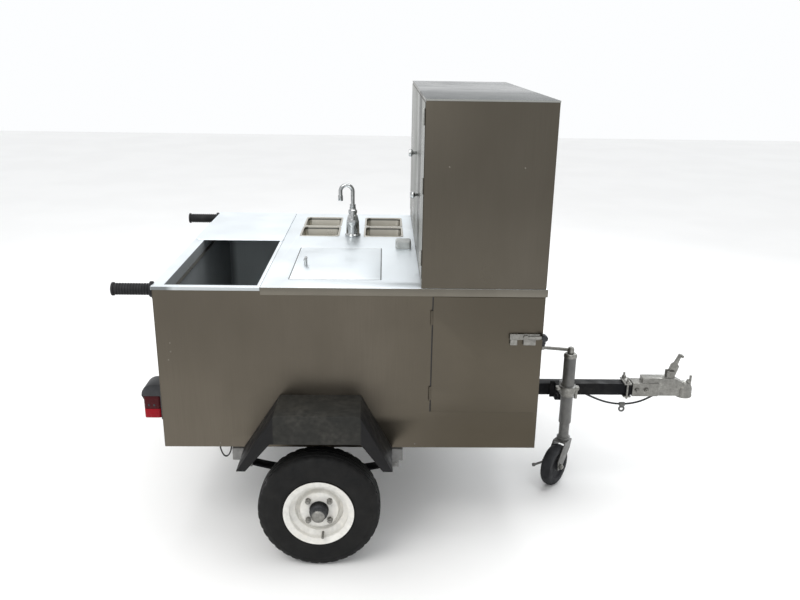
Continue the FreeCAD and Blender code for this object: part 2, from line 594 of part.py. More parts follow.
def tyre():
    """Tyre with square shoulders and a shallow groove round the tread."""
    bead, half = 102.0, TYRE_HALF
    profile = [(bead, -44), (118, -46), (128, -54), (160, -half), (185, -52), (198, -44), (203, -30),
               (TYRE_R, -12), (201, -9), (201, 9), (TYRE_R, 12), (203, 30), (198, 44), (185, 52),
               (160, half), (128, 54), (118, 46), (bead, 44), (bead + 6, 36), (bead + 6, -36)]
    return wheel_turned(profile)


def rim():
    """Pressed rim: two flanges, drop centre, and a dished disc with lug holes."""
    flange, seat, well = RIM_R, 101.6, 84.0
    barrel = [(flange, 54), (flange, 50.5), (seat, 45), (seat, 30), (well, 22), (well, -22), (seat, -30),
              (seat, -45), (flange, -50.5), (flange, -54), (seat - 4, -47), (seat - 4, -31), (well - 4, -24),
              (well - 4, 4), (66, 8), (60, 24), (32, 24), (32, 28), (63, 28), (70, 12), (well - 4, 9),
              (well - 4, 24), (seat - 4, 31), (seat - 4, 47)]
    disc = wheel_turned(barrel)
    hole = rod(6.5, (AXLE_X + LUG_RING, -WHEEL_Y - 40, TYRE_R), (AXLE_X + LUG_RING, -WHEEL_Y, TYRE_R))
    hole.rotate(V(AXLE_X, 0, TYRE_R), V(0, 1, 0), 45)
    return disc.cut(Part.makeCompound(ring_of(hole, 4, (AXLE_X, 0, TYRE_R), (0, 1, 0))))


def hub():
    """Hub barrel with its stud flange, and the two bearings inside."""
    barrel = [(19, -34), (30, -34), (30, 14), (58, 14), (58, 24), (31.5, 24), (31.5, 44), (19, 44)]
    bearings = [[(12.42, start), (19, start), (19, start + 14), (12.42, start + 14)] for start in (-30, 28)]
    return group([wheel_turned(barrel), *[wheel_turned(profile) for profile in bearings]])


def wheel_hardware():
    """Studs with nuts, grease cap and valve stem."""
    cap = wheel_turned([(20, 44), (30, 44), (30, 50), (25, 56), (23, 70), (14, 77), (0, 78), (0, 74),
                        (12, 73), (20, 67)])
    middle = V(AXLE_X, -WHEEL_Y, TYRE_R)
    stud_x = AXLE_X + LUG_RING
    hexagon = [V(stud_x + 10 * math.cos(math.radians(60 * i)), -WHEEL_Y - 28,
                 TYRE_R + 10 * math.sin(math.radians(60 * i))) for i in range(7)]
    nut = Part.Face(Part.makePolygon(hexagon)).extrude(V(0, -13, 0))
    nut = fuse(nut, rod(6, (stud_x, -WHEEL_Y - 24, TYRE_R), (stud_x, -WHEEL_Y - 46, TYRE_R)))
    nut.rotate(middle, V(0, 1, 0), 45)
    nuts = ring_of(nut, 4, (AXLE_X, -WHEEL_Y, TYRE_R), (0, 1, 0))
    stem = rod(4, (AXLE_X + 12, -WHEEL_Y - 29, TYRE_R - 85), (AXLE_X + 12, -WHEEL_Y - 60, TYRE_R - 89))
    return group([cap, *nuts, stem])


# ---------------------------------------------------------------- coupler and cable


def tongue_clamp():
    """Clamp round the tongue behind the coupler: two plates, and two studs with their nuts."""
    x, stud_y = 805.0, 29.8
    plates = [box(x - 16, x + 16, -36.0, 36.0, z, z + 6) for z in (TONGUE_Z0 - 6, TONGUE_Z1)]
    studs = [rod(4.5, (x, y, TONGUE_Z0 - 14), (x, y, TONGUE_Z1 + 30)) for y in (-stud_y, stud_y)]
    nuts = [rod(9, (x, y, TONGUE_Z1 + 6), (x, y, TONGUE_Z1 + 16)) for y in (-stud_y, stud_y)]
    return fuse(*plates, *studs, *nuts)


def coupler_body():
    """Ball coupler: sleeve over the tongue, neck, ball dome, and its two bolts."""
    wall = 4.0
    half = TONGUE_HALF + wall
    bolt_z = 335.0
    sleeve = box(827.0, 935.0, -half, half, TONGUE_Z0 - wall, TONGUE_Z1 + wall)
    sleeve = sleeve.cut(box(826.0, 905.0, -TONGUE_HALF, TONGUE_HALF, TONGUE_Z0, TONGUE_Z1))
    dome_r = BALL_R + COUPLER_WALL - 1
    neck_outline = [(935.0, 306.0), (935.0, 384.0), (1000.0, 384.0), (1040.0, 362.0), (COUPLER_X, 340.0),
                    (COUPLER_X, 306.0)]
    neck = outline_xz(neck_outline, -22.0, 22.0)
    ridge = box(868.0, 936.0, -22.0, 22.0, TONGUE_Z1 + wall, 384.0)
    dome = Part.makeSphere(dome_r, V(COUPLER_X, 0, COUPLER_Z))
    dome = dome.common(box(1000.0, 1100.0, -60.0, 60.0, COUPLER_Z, 400.0))
    skirt = rod(dome_r, (COUPLER_X, 0, 302.0), (COUPLER_X, 0, COUPLER_Z))
    rim_ring = rod(dome_r + 1, (COUPLER_X, 0, 300.0), (COUPLER_X, 0, 306.0))
    socket = Part.makeSphere(BALL_R, V(COUPLER_X, 0, COUPLER_Z))
    throat = rod(BALL_R, (COUPLER_X, 0, 290.0), (COUPLER_X, 0, COUPLER_Z))
    shell = fuse(sleeve, neck, ridge, dome, skirt, rim_ring).cut(socket).cut(throat)
    ears = [box(968.0, 1002.0, y, y + 5, 380.0, 412.0) for y in (-15.0, 10.0)]
    pin = rod(4, (985.0, -17, 398.0), (985.0, 17, 398.0))
    nose = fuse(box(1060.0, 1078.0, -5.0, 5.0, 350.0, 372.0), box(1070.0, 1078.0, -5.0, 5.0, 364.0, 390.0))
    shell = fuse(shell, *ears, pin, nose)
    bolts = []
    for x in (845.0, 885.0):
        shank = rod(6, (x, -half - 16, bolt_z), (x, -half, bolt_z))
        head = rod(9.5, (x, half, bolt_z), (x, half + 7, bolt_z))
        nut = rod(9.5, (x, -half - 10, bolt_z), (x, -half, bolt_z))
        bolts += [fuse(shank, nut), head]
    return group([shell, tongue_clamp(), *bolts])


def coupler_lever():
    """Latch lever on the coupler: a bent flat bar with a bored eye."""
    x, z = LEVER_PIN
    lean = 20.0
    arm = outline_xz([(x - 12, z + 3), (x + 22, z + 3), (x + 20, z + 42), (x + 10, z + 50), (x + 8, z + 92),
                      (x - 3, z + 92), (x - 6, z + 50), (x - 14, z + 40)], -6.5, 6.5)
    tab = box(x + 5, x + 16, -12.0, 12.0, z + 82, z + 92)
    eye = rod(10, (x, -6.5, z), (x, 6.5, z))
    lever = fuse(arm, tab, eye).cut(rod(4.05, (x, -20, z), (x, 20, z)))
    lever.rotate(V(x, 0, z), V(0, 1, 0), lean)
    return lever


def rounded_path(points):
    """Straight runs joined by tangent arcs, each as large as its two runs allow."""
    edges = []
    start = V(*points[0])
    for before, corner, after in zip(points, points[1:], points[2:]):
        into = V(*corner) - V(*before)
        out = V(*after) - V(*corner)
        shorter = min(into.Length, out.Length)
        turn = into.getAngle(out)
        radius = 0.45 * shorter / math.tan(turn / 2)
        print("cable arc radius %.0f mm" % radius)
        into.normalize()
        out.normalize()
        first = V(*corner) - into * 0.45 * shorter
        last = V(*corner) + out * 0.45 * shorter
        inward = out - into
        inward.normalize()
        depth = radius * (1 / math.cos(turn / 2) - 1)
        edges.append(Part.LineSegment(start, first).toShape())
        edges.append(Part.Arc(first, V(*corner) + inward * depth, last).toShape())
        start = last
    edges.append(Part.LineSegment(start, V(*points[-1])).toShape())
    return Part.Wire(edges)


def safety_cable():
    """Steel safety cable in a black sleeve, hanging under the tongue."""
    path = rounded_path(CABLE_ROUTE)
    way = V(*CABLE_ROUTE[1]) - V(*CABLE_ROUTE[0])
    section = Part.Wire(Part.Circle(V(*CABLE_ROUTE[0]), way, CABLE_R).toShape())
    cable = path.makePipeShell([section], True, False)
    print("cable length %.0f mm, volume ratio %.4f"
          % (path.Length, cable.Volume / (path.Length * math.pi * CABLE_R ** 2)))
    return cable


def safety_hook():
    """Sleeve on the cable's lowest stretch with a hanging snap hook."""
    x, y, z = 800.0, 3.0, 256.2
    sleeve = pipe(9, CABLE_R + 1.2, (x - 11, y, z), (x + 11, y, z))
    shank = rod(4.5, (x, y, z - 16), (x, y, z - 7))
    ring = Part.makeTorus(10, 4, V(x, y, z - 22), V(0, 1, 0))
    return fuse(sleeve, shank, ring)


# ---------------------------------------------------------------- jack with caster

def jack_bracket():
    """Plate on the side of the tongue and the stub that carries the jack's collar."""
    plate_y = -TONGUE_HALF - 8
    plate = box(JACK_X - 42, JACK_X + 42, plate_y, -TONGUE_HALF, TONGUE_Z0 - 6, TONGUE_Z1 + 14)
    stub = box(JACK_X - 26, JACK_X + 26, JACK_SEAT_Y, plate_y, COLLAR_Z0 - 26, TONGUE_Z1 + 14)
    gusset = outline_xz([(JACK_X - 26, TONGUE_Z0 - 6), (JACK_X - 26, COLLAR_Z0 - 26),
                         (JACK_X + 26, COLLAR_Z0 - 26), (JACK_X + 26, TONGUE_Z0 - 6)],
                        plate_y - 30, plate_y)
    return fuse(plate, stub, gusset)


def jack_outer_tube():
    """Outer tube with its flared collar and the lugs on both sides of it."""
    x, y = JACK_X, JACK_Y
    bore = 20.5
    tube = rod(24, (x, y, 250.0), (x, y, 530.0))
    seat = soft_box(x - 26, x + 26, y, JACK_SEAT_Y, COLLAR_Z0, COLLAR_Z1, 4)
    cup = turned([(0, 0), (25, 0), (33, 30), (33, 44), (0, 44)], (x, y, COLLAR_Z0), (0, 0, 1))
    lugs = soft_box(x - 47, x + 45, y - 13, y + 13, COLLAR_Z0 + 26, COLLAR_Z0 + 38, 8)
    pin = rod(7, (x + 34, y, COLLAR_Z0 - 12), (x + 34, y, COLLAR_Z0 + 30))
    return fuse(tube, seat, cup, lugs, pin).cut(rod(bore, (x, y, 249.0), (x, y, 531.0)))


def jack_cap():
    """Cast cap on top of the outer tube."""
    profile = [(7.5, 0), (26, 0), (26, 10), (20, 16), (7.5, 16)]
    return turned(profile, (JACK_X, JACK_Y, 530.0), (0, 0, 1))


def jack_inner_tube():
    """Sliding inner tube with the screw's nut in its top and a flange at its foot."""
    x, y = JACK_X, JACK_Y
    foot_z = CROWN_Z + 11 + GAP
    tube = pipe(20, 16, (x, y, foot_z), (x, y, 420.0))
    nut = pipe(16, 7.5, (x, y, 400.0), (x, y, 420.0))
    flange = rod(26, (x, y, foot_z), (x, y, foot_z + 6))
    return fuse(tube, nut, flange)


def crank_end():
    """Where the crank's knob stands."""
    turn = math.radians(CRANK_TURN)
    return JACK_X + CRANK_REACH * math.cos(turn), JACK_Y + CRANK_REACH * math.sin(turn)


def jack_crank():
    """Crank on the screw: screw, hub, arm and knob pin."""
    end_x, end_y = crank_end()
    screw = rod(7.2, (JACK_X, JACK_Y, 315.0), (JACK_X, JACK_Y, 550.0))
    crank_hub = turned([(0, 0), (13, 0), (13, 16), (9, 24), (0, 24)], (JACK_X, JACK_Y, 547.0), (0, 0, 1))
    arm = rod(6.5, (JACK_X, JACK_Y, CRANK_Z), (end_x, end_y, CRANK_Z))
    joint = rod(9, (end_x, end_y, CRANK_Z - 7), (end_x, end_y, CRANK_Z + 7))
    pin = rod(3.5, (end_x, end_y, CRANK_Z), (end_x, end_y, CRANK_Z + 20))
    return fuse(screw, crank_hub, arm, joint, pin)


def crank_knob():
    """Free-turning knob on the crank's end."""
    end_x, end_y = crank_end()
    z = CRANK_Z + 7 + GAP
    profile = [(0, 15), (3.55, 15), (3.55, 0), (8, 0), (11.5, 8), (12, 38), (9, 47), (0, 48)]
    return turned(profile, (end_x, end_y, z), (0, 0, 1))


def placed_caster(shape):
    """Turn a caster piece, drawn trailing towards -Y, to how it stands."""
    shape.rotate(V(0, 0, 0), V(0, 0, 1), CASTER_TURN)
    shape.translate(V(JACK_X, JACK_Y, 0))
    return shape


def caster_fork():
    """Fork with a swivel crown, two legs, the wheel's bolt with its nut, and the brake lever's pin."""
    leg = 4.0
    crown_half = CASTER_HALF + 3 + leg
    crown_top = CROWN_Z + 5
    crown = box(-crown_half, crown_half, -34, 24, CROWN_Z, crown_top)
    boss = rod(22, (0, 0, crown_top), (0, 0, crown_top + 6))
    tip_y = -CASTER_TRAIL
    outline = [(-34, crown_top), (24, crown_top), (12, 140.0), (tip_y + 15, CASTER_R - 14),
               (tip_y - 15, CASTER_R - 14), (tip_y - 18, CASTER_R + 24)]
    legs = []
    for x in (-crown_half, crown_half - leg):
        wire = Part.makePolygon([V(x, a, b) for a, b in outline + outline[:1]])
        legs.append(Part.Face(wire).extrude(V(leg, 0, 0)))
    inside = crown_half - leg
    shank = rod(6, (-inside, tip_y, CASTER_R), (inside, tip_y, CASTER_R))
    head = rod(10, (-crown_half - 6, tip_y, CASTER_R), (-crown_half, tip_y, CASTER_R))
    nut = fuse(rod(10.5, (crown_half, tip_y, CASTER_R), (crown_half + 9, tip_y, CASTER_R)),
               rod(6, (crown_half, tip_y, CASTER_R), (crown_half + 13, tip_y, CASTER_R)))
    brake_pin = rod(4, (-crown_half - 5, *BRAKE_PIN), (-crown_half, *BRAKE_PIN))
    return placed_caster(group([fuse(crown, boss, *legs), shank, head, nut, brake_pin]))


def caster_wheel():
    """Wheel with a crowned tread and a bored hub."""
    half = CASTER_HALF
    edge = CASTER_R - 2
    profile = [(6.06, -half - 2), (17, -half - 2), (17, 7 - half), (50, 7 - half), (54, -half),
               (edge - 7, -half), (edge, 8 - half), (CASTER_R, 0), (edge, half - 8), (edge - 7, half),
               (54, half), (50, half - 7), (17, half - 7), (17, half + 2), (6.06, half + 2)]
    wheel = turned(profile, (0, -CASTER_TRAIL, CASTER_R), (1, 0, 0))
    return placed_caster(wheel)


def caster_brake_lever():
    """Foot brake lever outside one leg of the fork, with a bar and a tip for the foot."""
    x = -CASTER_HALF - 7 - GAP
    pivot_y, pivot_z = BRAKE_PIN
    bar_end = (x - 34, pivot_y - 40, pivot_z - 26)
    tip_end = (x - 44, pivot_y - 43, pivot_z - 30)
    arm = box(x - 4, x, pivot_y - 40, pivot_y + 9, pivot_z - 9, pivot_z + 9)
    bar = rod(4.5, (x - 2, pivot_y - 34, pivot_z - 3), bar_end)
    tip = rod(7, bar_end, tip_end)
    bore = rod(4.05, (x - 5, pivot_y, pivot_z), (x + 1, pivot_y, pivot_z))
    return placed_caster(fuse(arm, bar, tip).cut(bore))


# ---------------------------------------------------------------- writing the parts

SINGLE_PARTS = (
    chassis_frame, tongue_tube, floor_pan, rear_panel, front_panel, far_side_panel, near_side_panel,
    compartment_door, door_latch_base, door_latch_handle, cabinet_shell, cabinet_shelf, far_cabinet_panel,
    near_cabinet_door, cabinet_door_pull, cabinet_turn_latch, worktop, bin_liner, bin_lid,
    work_lid, work_lid_knob, steam_pan, burner, wash_basins, drain_pipes, water_tanks, water_pump,
    gas_cylinder, faucet_body, faucet_spout, faucet_lever, burner_knob, push_handles, light_housings,
    light_lenses, fenders, axle_beam, leaf_springs, coupler_body, coupler_lever, safety_cable, safety_hook,
    jack_bracket, jack_outer_tube, jack_cap, jack_inner_tube, jack_crank, crank_knob, caster_fork,
    caster_wheel, caster_brake_lever)

WHEEL_PARTS = (hub, rim, tyre, wheel_hardware)


def save(name, shape):
    """Write one node, after checking that its solids are sound."""
    if not shape.isValid():
        raise ValueError(name + " is not a valid shape")
    shape.exportStep("parts/" + name + ".step")
    size = shape.BoundBox
    print("%-22s %2d solid(s)  x %.1f..%.1f  y %.1f..%.1f  z %.1f..%.1f"
          % (name, len(shape.Solids), size.XMin, size.XMax, size.YMin, size.YMax, size.ZMin, size.ZMax))


def main():
    os.makedirs("parts", exist_ok=True)
    for make in SINGLE_PARTS:
        save(make.__name__, make())
    for make in WHEEL_PARTS:
        near = make()
        save("near_" + make.__name__, near)
        save("far_" + make.__name__, mirrored(near))


main()
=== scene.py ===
"""Looks of the push vending cart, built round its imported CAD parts. Metres, +X towards the coupler."""
import json
import math

import bmesh
import bpy
from mathutils import Matrix, Vector


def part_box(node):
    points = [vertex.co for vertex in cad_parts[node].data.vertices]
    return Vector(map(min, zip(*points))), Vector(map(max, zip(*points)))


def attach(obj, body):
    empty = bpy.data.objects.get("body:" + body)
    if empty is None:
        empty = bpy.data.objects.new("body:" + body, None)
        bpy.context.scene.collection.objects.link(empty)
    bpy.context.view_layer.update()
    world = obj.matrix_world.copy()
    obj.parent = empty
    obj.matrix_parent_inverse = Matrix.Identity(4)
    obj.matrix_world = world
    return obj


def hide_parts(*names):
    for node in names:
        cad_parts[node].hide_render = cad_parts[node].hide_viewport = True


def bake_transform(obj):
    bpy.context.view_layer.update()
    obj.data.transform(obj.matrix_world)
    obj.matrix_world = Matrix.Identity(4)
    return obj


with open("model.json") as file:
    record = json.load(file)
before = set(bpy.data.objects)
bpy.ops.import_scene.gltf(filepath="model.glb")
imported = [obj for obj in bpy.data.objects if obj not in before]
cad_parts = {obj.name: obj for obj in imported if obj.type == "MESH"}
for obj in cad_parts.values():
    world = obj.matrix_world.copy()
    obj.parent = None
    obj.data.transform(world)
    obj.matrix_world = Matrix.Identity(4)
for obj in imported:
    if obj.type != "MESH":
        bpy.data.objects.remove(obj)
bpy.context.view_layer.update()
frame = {"nodes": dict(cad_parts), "record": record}

MM = 0.001
X, Y, Z = range(3)        # numbers of the axes
SLOT_OF = {part["node"]: part["material_slot"] for part in frame["record"]["subparts"]}
BODY_OF = {node: body for body, nodes in frame["record"]["behaviour"]["bodies"].items() for node in nodes}

# ---------------------------------------------------------------- camera, floor and light


def add_camera():
    """Camera at the height and angle the cart is seen from."""
    place = Vector((-0.211, -2.9786, 1.6898))
    yaw, pitch, roll = 0.0239, 0.3181, 0.0159
    ahead = Vector((math.sin(yaw) * math.cos(pitch), math.cos(yaw) * math.cos(pitch), -math.sin(pitch)))
    level = Vector((math.cos(yaw), -math.sin(yaw), 0.0))
    up = level.cross(ahead)
    right = math.cos(roll) * level + math.sin(roll) * up
    top = right.cross(ahead)
    data = bpy.data.cameras.new("camera")
    data.sensor_width = 36.0
    data.lens = 35.35
    camera = bpy.data.objects.new("camera", data)
    axes = Matrix((right, top, -ahead)).transposed().to_4x4()
    camera.matrix_world = Matrix.Translation(place) @ axes
    bpy.context.scene.collection.objects.link(camera)
    bpy.context.scene.camera = camera


def add_area(name, place, target, size, power, colour):
    """Soft area light aimed at a point."""
    data = bpy.data.lights.new(name, "AREA")
    data.shape = "RECTANGLE"
    data.size, data.size_y = size
    data.energy = power
    data.color = colour
    light = bpy.data.objects.new(name, data)
    light.location = place
    light.rotation_euler = (Vector(target) - Vector(place)).to_track_quat("-Z", "Y").to_euler()
    bpy.context.scene.collection.objects.link(light)


def add_stage():
    """Pale floor, white surroundings and three soft lights."""
    world = bpy.data.worlds.new("studio")
    bpy.context.scene.world = world
    world.use_nodes = True
    world.node_tree.nodes["Background"].inputs["Color"].default_value = (0.98, 0.99, 1.0, 1.0)
    world.node_tree.nodes["Background"].inputs["Strength"].default_value = 1.0
    add_area("key", (-2.2, -2.6, 3.8), (-0.3, 0.0, 0.6), (2.6, 2.0), 70.0, (1.0, 0.98, 0.95))
    add_area("top", (-0.2, 0.4, 4.2), (-0.3, 0.0, 0.9), (3.2, 2.4), 60.0, (1.0, 1.0, 1.0))
    add_area("rim", (2.4, 2.4, 2.6), (0.0, 0.0, 0.8), (1.6, 1.6), 40.0, (0.95, 0.98, 1.0))
    mesh = bpy.data.meshes.new("floor")
    half = 12.0
    corners = [(-half, -half, 0), (half, -half, 0), (half, half, 0), (-half, half, 0)]
    mesh.from_pydata(corners, [], [(0, 1, 2, 3)])
    floor = bpy.data.objects.new("floor", mesh)
    bpy.context.scene.collection.objects.link(floor)
    surface = Surface("floor_paint", (0.90, 0.90, 0.895), 0.65)
    surface.blotch((0.88, 0.88, 0.875), 1.2, 0.5)
    mesh.materials.append(surface.done())
    bpy.context.scene.view_settings.view_transform = "Standard"


# ---------------------------------------------------------------- materials


# Nearly all noise lies between these two.
NOISE_LOW, NOISE_HIGH = 0.3, 0.7
# Noise above BLOTCH_NONE makes a blotch; a full share lowers that level by BLOTCH_DROP.
BLOTCH_NONE, BLOTCH_DROP = 0.62, 0.24
# The rounded normal times the plain one, on a flat face and on a worn edge.
FLAT_DOT, WORN_DOT = 0.99, 0.85
# A Mix node's colour sockets.
MIX_FIRST, MIX_SECOND, MIX_RESULT = 6, 7, 2


class Surface:
    """One procedural material: a base colour that layers of noise change, with roughness and bump."""

    def __init__(self, name, colour, roughness, metallic=0.0):
        self.material = bpy.data.materials.new(name)
        self.material.use_nodes = True
        self.tree = self.material.node_tree
        self.shader = self.tree.nodes["Principled BSDF"]
        self.shader.inputs["Metallic"].default_value = metallic
        self.shader.inputs["Roughness"].default_value = roughness
        self.place = self.new("ShaderNodeTexCoord").outputs["Object"]
        self.colour = self.new("ShaderNodeRGB").outputs[0]
        self.colour.default_value = (*colour, 1.0)
        self.height = None

    def new(self, kind):
        """Add one node."""
        return self.tree.nodes.new(kind)

    def link(self, start, end):
        """Join two sockets."""
        self.tree.links.new(start, end)

    def noise(self, scale, detail=3.0, stretch=(1.0, 1.0, 1.0), rough=0.5):
        """Noise from 0 to 1; a stretch under 1 draws it out along that axis."""
        mapping = self.new("ShaderNodeMapping")
        mapping.inputs["Scale"].default_value = stretch
        self.link(self.place, mapping.inputs["Vector"])
        node = self.new("ShaderNodeTexNoise")
        node.inputs["Scale"].default_value = scale
        node.inputs["Detail"].default_value = detail
        node.inputs["Roughness"].default_value = rough
        self.link(mapping.outputs[0], node.inputs["Vector"])
        return node.outputs["Fac"]

    def span(self, value, low, high, to_low=0.0, to_high=1.0):
        """Map a stretch of values onto another, clamped."""
        node = self.new("ShaderNodeMapRange")
        for socket, number in zip(node.inputs[1:5], (low, high, to_low, to_high)):
            socket.default_value = number
        self.link(value, node.inputs[0])
        return node.outputs[0]

    def along(self, axis):
        """Distance along one axis of the object's frame."""
        node = self.new("ShaderNodeSeparateXYZ")
        self.link(self.place, node.inputs[0])
        return node.outputs[axis]

    def times(self, first, second):
        """Product of two values."""
        node = self.new("ShaderNodeMath")
        node.operation = "MULTIPLY"
        self.link(first, node.inputs[0])
        self.link(second, node.inputs[1])
        return node.outputs[0]

    def tint(self, colour, amount):
        """Blend a colour over what is there, by a value."""
        node = self.new("ShaderNodeMix")
        node.data_type = "RGBA"
        self.link(amount, node.inputs["Factor"])
        self.link(self.colour, node.inputs[MIX_FIRST])
        node.inputs[MIX_SECOND].default_value = (*colour, 1.0)
        self.colour = node.outputs[MIX_RESULT]
        return self

    def blotch(self, colour, scale, share, stretch=(1.0, 1.0, 1.0), soft=0.18):
        """Patches of another colour."""
        middle = BLOTCH_NONE - BLOTCH_DROP * share
        patch = self.span(self.noise(scale, 4.0, stretch), middle - soft / 2, middle + soft / 2)
        return self.tint(colour, patch)

    def rough(self, low, high, scale, stretch=(1.0, 1.0, 1.0)):
        """Roughness that wanders between two values."""
        wander = self.span(self.noise(scale, 4.0, stretch), NOISE_LOW, NOISE_HIGH, low, high)
        self.link(wander, self.shader.inputs["Roughness"])
        return self

    def bump(self, value, distance, strength=1.0):
        """Add a relief."""
        node = self.new("ShaderNodeBump")
        node.inputs["Distance"].default_value = distance
        node.inputs["Strength"].default_value = strength
        self.link(value, node.inputs["Height"])
        if self.height is not None:
            self.link(self.height, node.inputs["Normal"])
        self.height = node.outputs[0]
        return self

    def dull(self, level):
        """Weaken the surface's sheen."""
        self.shader.inputs["Specular IOR Level"].default_value = level
        return self

    def metal(self, share, glance=(1.0, 1.0, 1.0)):
        """How metallic the surface is, and its colour when seen at a glancing angle."""
        self.shader.inputs["Metallic"].default_value = share
        self.shader.inputs["Specular Tint"].default_value = (*glance, 1.0)
        return self

    def worn_edges(self, colour, radius, amount):
        """Lighter or darker edges, from how sharply the surface bends."""
        bevel = self.new("ShaderNodeBevel")
        bevel.inputs["Radius"].default_value = radius
        bevel.samples = 4
        plain = self.new("ShaderNodeNewGeometry").outputs["Normal"]
        dot = self.new("ShaderNodeVectorMath")
        dot.operation = "DOT_PRODUCT"
        self.link(bevel.outputs[0], dot.inputs[0])
        self.link(plain, dot.inputs[1])
        edge = self.span(dot.outputs["Value"], FLAT_DOT, WORN_DOT, 0.0, amount)
        chips = self.span(self.noise(90.0), 0.35, 0.6)
        return self.tint(colour, self.times(edge, chips))

    def done(self):
        """Join the colour and the relief to the shader."""
        self.link(self.colour, self.shader.inputs["Base Color"])
        if self.height is not None:
            self.link(self.height, self.shader.inputs["Normal"])
        return self.material


# Stretch of the noise for a grain that runs along each axis.
GRAIN_ALONG = {"X": (0.02, 1.0, 1.0), "Y": (1.0, 0.02, 1.0), "Z": (1.0, 1.0, 0.02)}


def brushed(name, colour, shade, light, roughness, grain="Z", depth=0.00002):
    """Brushed stainless sheet: fine grain, soft pale and dark blotches, and slow waves in the sheet."""
    surface = Surface(name, colour, roughness, metallic=1.0)
    stretch = GRAIN_ALONG[grain]
    surface.tint(shade, surface.span(surface.noise(420.0, 2.0, stretch), 0.35, 0.75, 0.0, 0.55))
    middle = [(first + second) / 2 for first, second in zip(colour, light)]
    low = [0.7 * first + 0.3 * second for first, second in zip(colour, shade)]
    surface.blotch(middle, 2.2, 0.45, (1.0, 1.0, 0.45), soft=0.6)
    surface.blotch(low, 5.5, 0.32, (1.0, 1.0, 0.35), soft=0.45)
    surface.rough(roughness * 0.8, roughness * 1.3, 6.0)
    surface.bump(surface.noise(520.0, 2.0, stretch), depth, 0.6)
    surface.bump(surface.noise(1.6, 2.0), 0.004, 0.25)
    return surface


def painted(name, colour, dust, roughness, dust_share=0.35, sheen=0.5):
    """Gloss paint with dust, orange peel and worn edges."""
    surface = Surface(name, colour, roughness).dull(sheen)
    surface.blotch(dust, 14.0, dust_share, soft=0.4)
    surface.blotch([0.8 * part for part in colour], 60.0, 0.4, soft=0.4)
    surface.worn_edges([min(1.0, 3.0 * part + 0.05) for part in colour], 0.0016, 0.6)
    surface.rough(roughness * 0.75, roughness * 1.35, 25.0)
    surface.bump(surface.noise(700.0, 2.0), 0.00006, 0.5)
    return surface


def moulded(name, colour, roughness, grain=900.0, sheen=0.5):
    """Moulded plastic or rubber with a fine grain and handling marks."""
    surface = Surface(name, colour, roughness).dull(sheen)
    surface.blotch([min(1.0, 1.7 * part + 0.01) for part in colour], 30.0, 0.35, soft=0.4)
    surface.rough(roughness * 0.85, min(1.0, roughness * 1.2), 40.0)
    surface.bump(surface.noise(grain, 2.0), 0.00008, 0.6)
    return surface


def plated(name, colour, shade, roughness):
    """Zinc or chrome plating with cloudy patches and small pits."""
    surface = Surface(name, colour, roughness, metallic=1.0)
    surface.blotch(shade, 22.0, 0.5, soft=0.7)
    surface.blotch([0.8 * part for part in shade], 110.0, 0.25, soft=0.5)
    surface.rough(roughness * 0.7, roughness * 1.6, 60.0)
    surface.bump(surface.noise(500.0, 2.0), 0.00004, 0.5)
    return surface


def side_sheet():
    """Brushed sheet of the body's sides: its dark brown is a painted reflection of the ground, and painted
    shade makes it darker towards the hitch and darkest low down there.
    """
    surface = brushed("side_steel", (0.122, 0.107, 0.085), (0.086, 0.074, 0.058),
                      (0.152, 0.134, 0.109), 0.36)
    # Painted shade towards the hitch, deepest low down.
    forward_shade_fade, low_shade_fade = (-0.25, 0.10), (0.56, 0.42)
    forward_shade = surface.span(surface.along(X), *forward_shade_fade)
    surface.tint((0.100, 0.087, 0.067), forward_shade)
    low = surface.span(surface.along(Z), *low_shade_fade, 0.0, 0.7)
    return surface.tint((0.074, 0.063, 0.046), surface.times(forward_shade, low))


def tank_steel():
    """Satin sheet inside the bin, with painted shade darkening its rear wall."""
    surface = brushed("bin_steel", (0.48, 0.51, 0.52), (0.38, 0.405, 0.41), (0.56, 0.58, 0.59), 0.6)
    # Painted shade on the bin's rear wall.
    wall_shade_fade = (-0.880, -0.905)
    surface.tint((0.13, 0.14, 0.145), surface.span(surface.along(X), *wall_shade_fade, 0.0, 0.9))
    return surface.metal(0.2).dull(0.3)


def lens_plastic():
    """Red lens with moulded ribs, dark above its split and bright below."""
    surface = Surface("lens_red", (0.25, 0.006, 0.012), 0.25).dull(0.12)
    split_fade = (0.4881, 0.4888)
    upper = surface.span(surface.along(Z), *split_fade)
    surface.tint((0.052, 0.006, 0.008), upper)
    ribs = surface.new("ShaderNodeTexWave")
    ribs.bands_direction = "Z"
    ribs.inputs["Scale"].default_value = 60.0
    surface.link(surface.place, ribs.inputs["Vector"])
    surface.bump(ribs.outputs["Fac"], 0.0006, 0.8)
    surface.rough(0.18, 0.34, 60.0)
    return surface


def milky_tank():
    """Milky blow-moulded tank wall."""
    surface = moulded("tank_plastic", (0.66, 0.69, 0.68), 0.42, grain=300.0)
    surface.shader.inputs["Subsurface Weight"].default_value = 0.2
    return surface


def tyre_rubber():
    """Tyre rubber with dusty patches and roughness that wanders."""
    surface = Surface("tyre", (0.0075, 0.008, 0.0085), 0.6).dull(0.12)
    surface.blotch((0.016, 0.0155, 0.015), 18.0, 0.35, soft=0.4)
    surface.blotch((0.012, 0.0118, 0.0115), 120.0, 0.4, soft=0.3)
    surface.rough(0.45, 0.75, 30.0)
    surface.bump(surface.noise(600.0, 3.0), 0.0002, 0.5)
    return surface


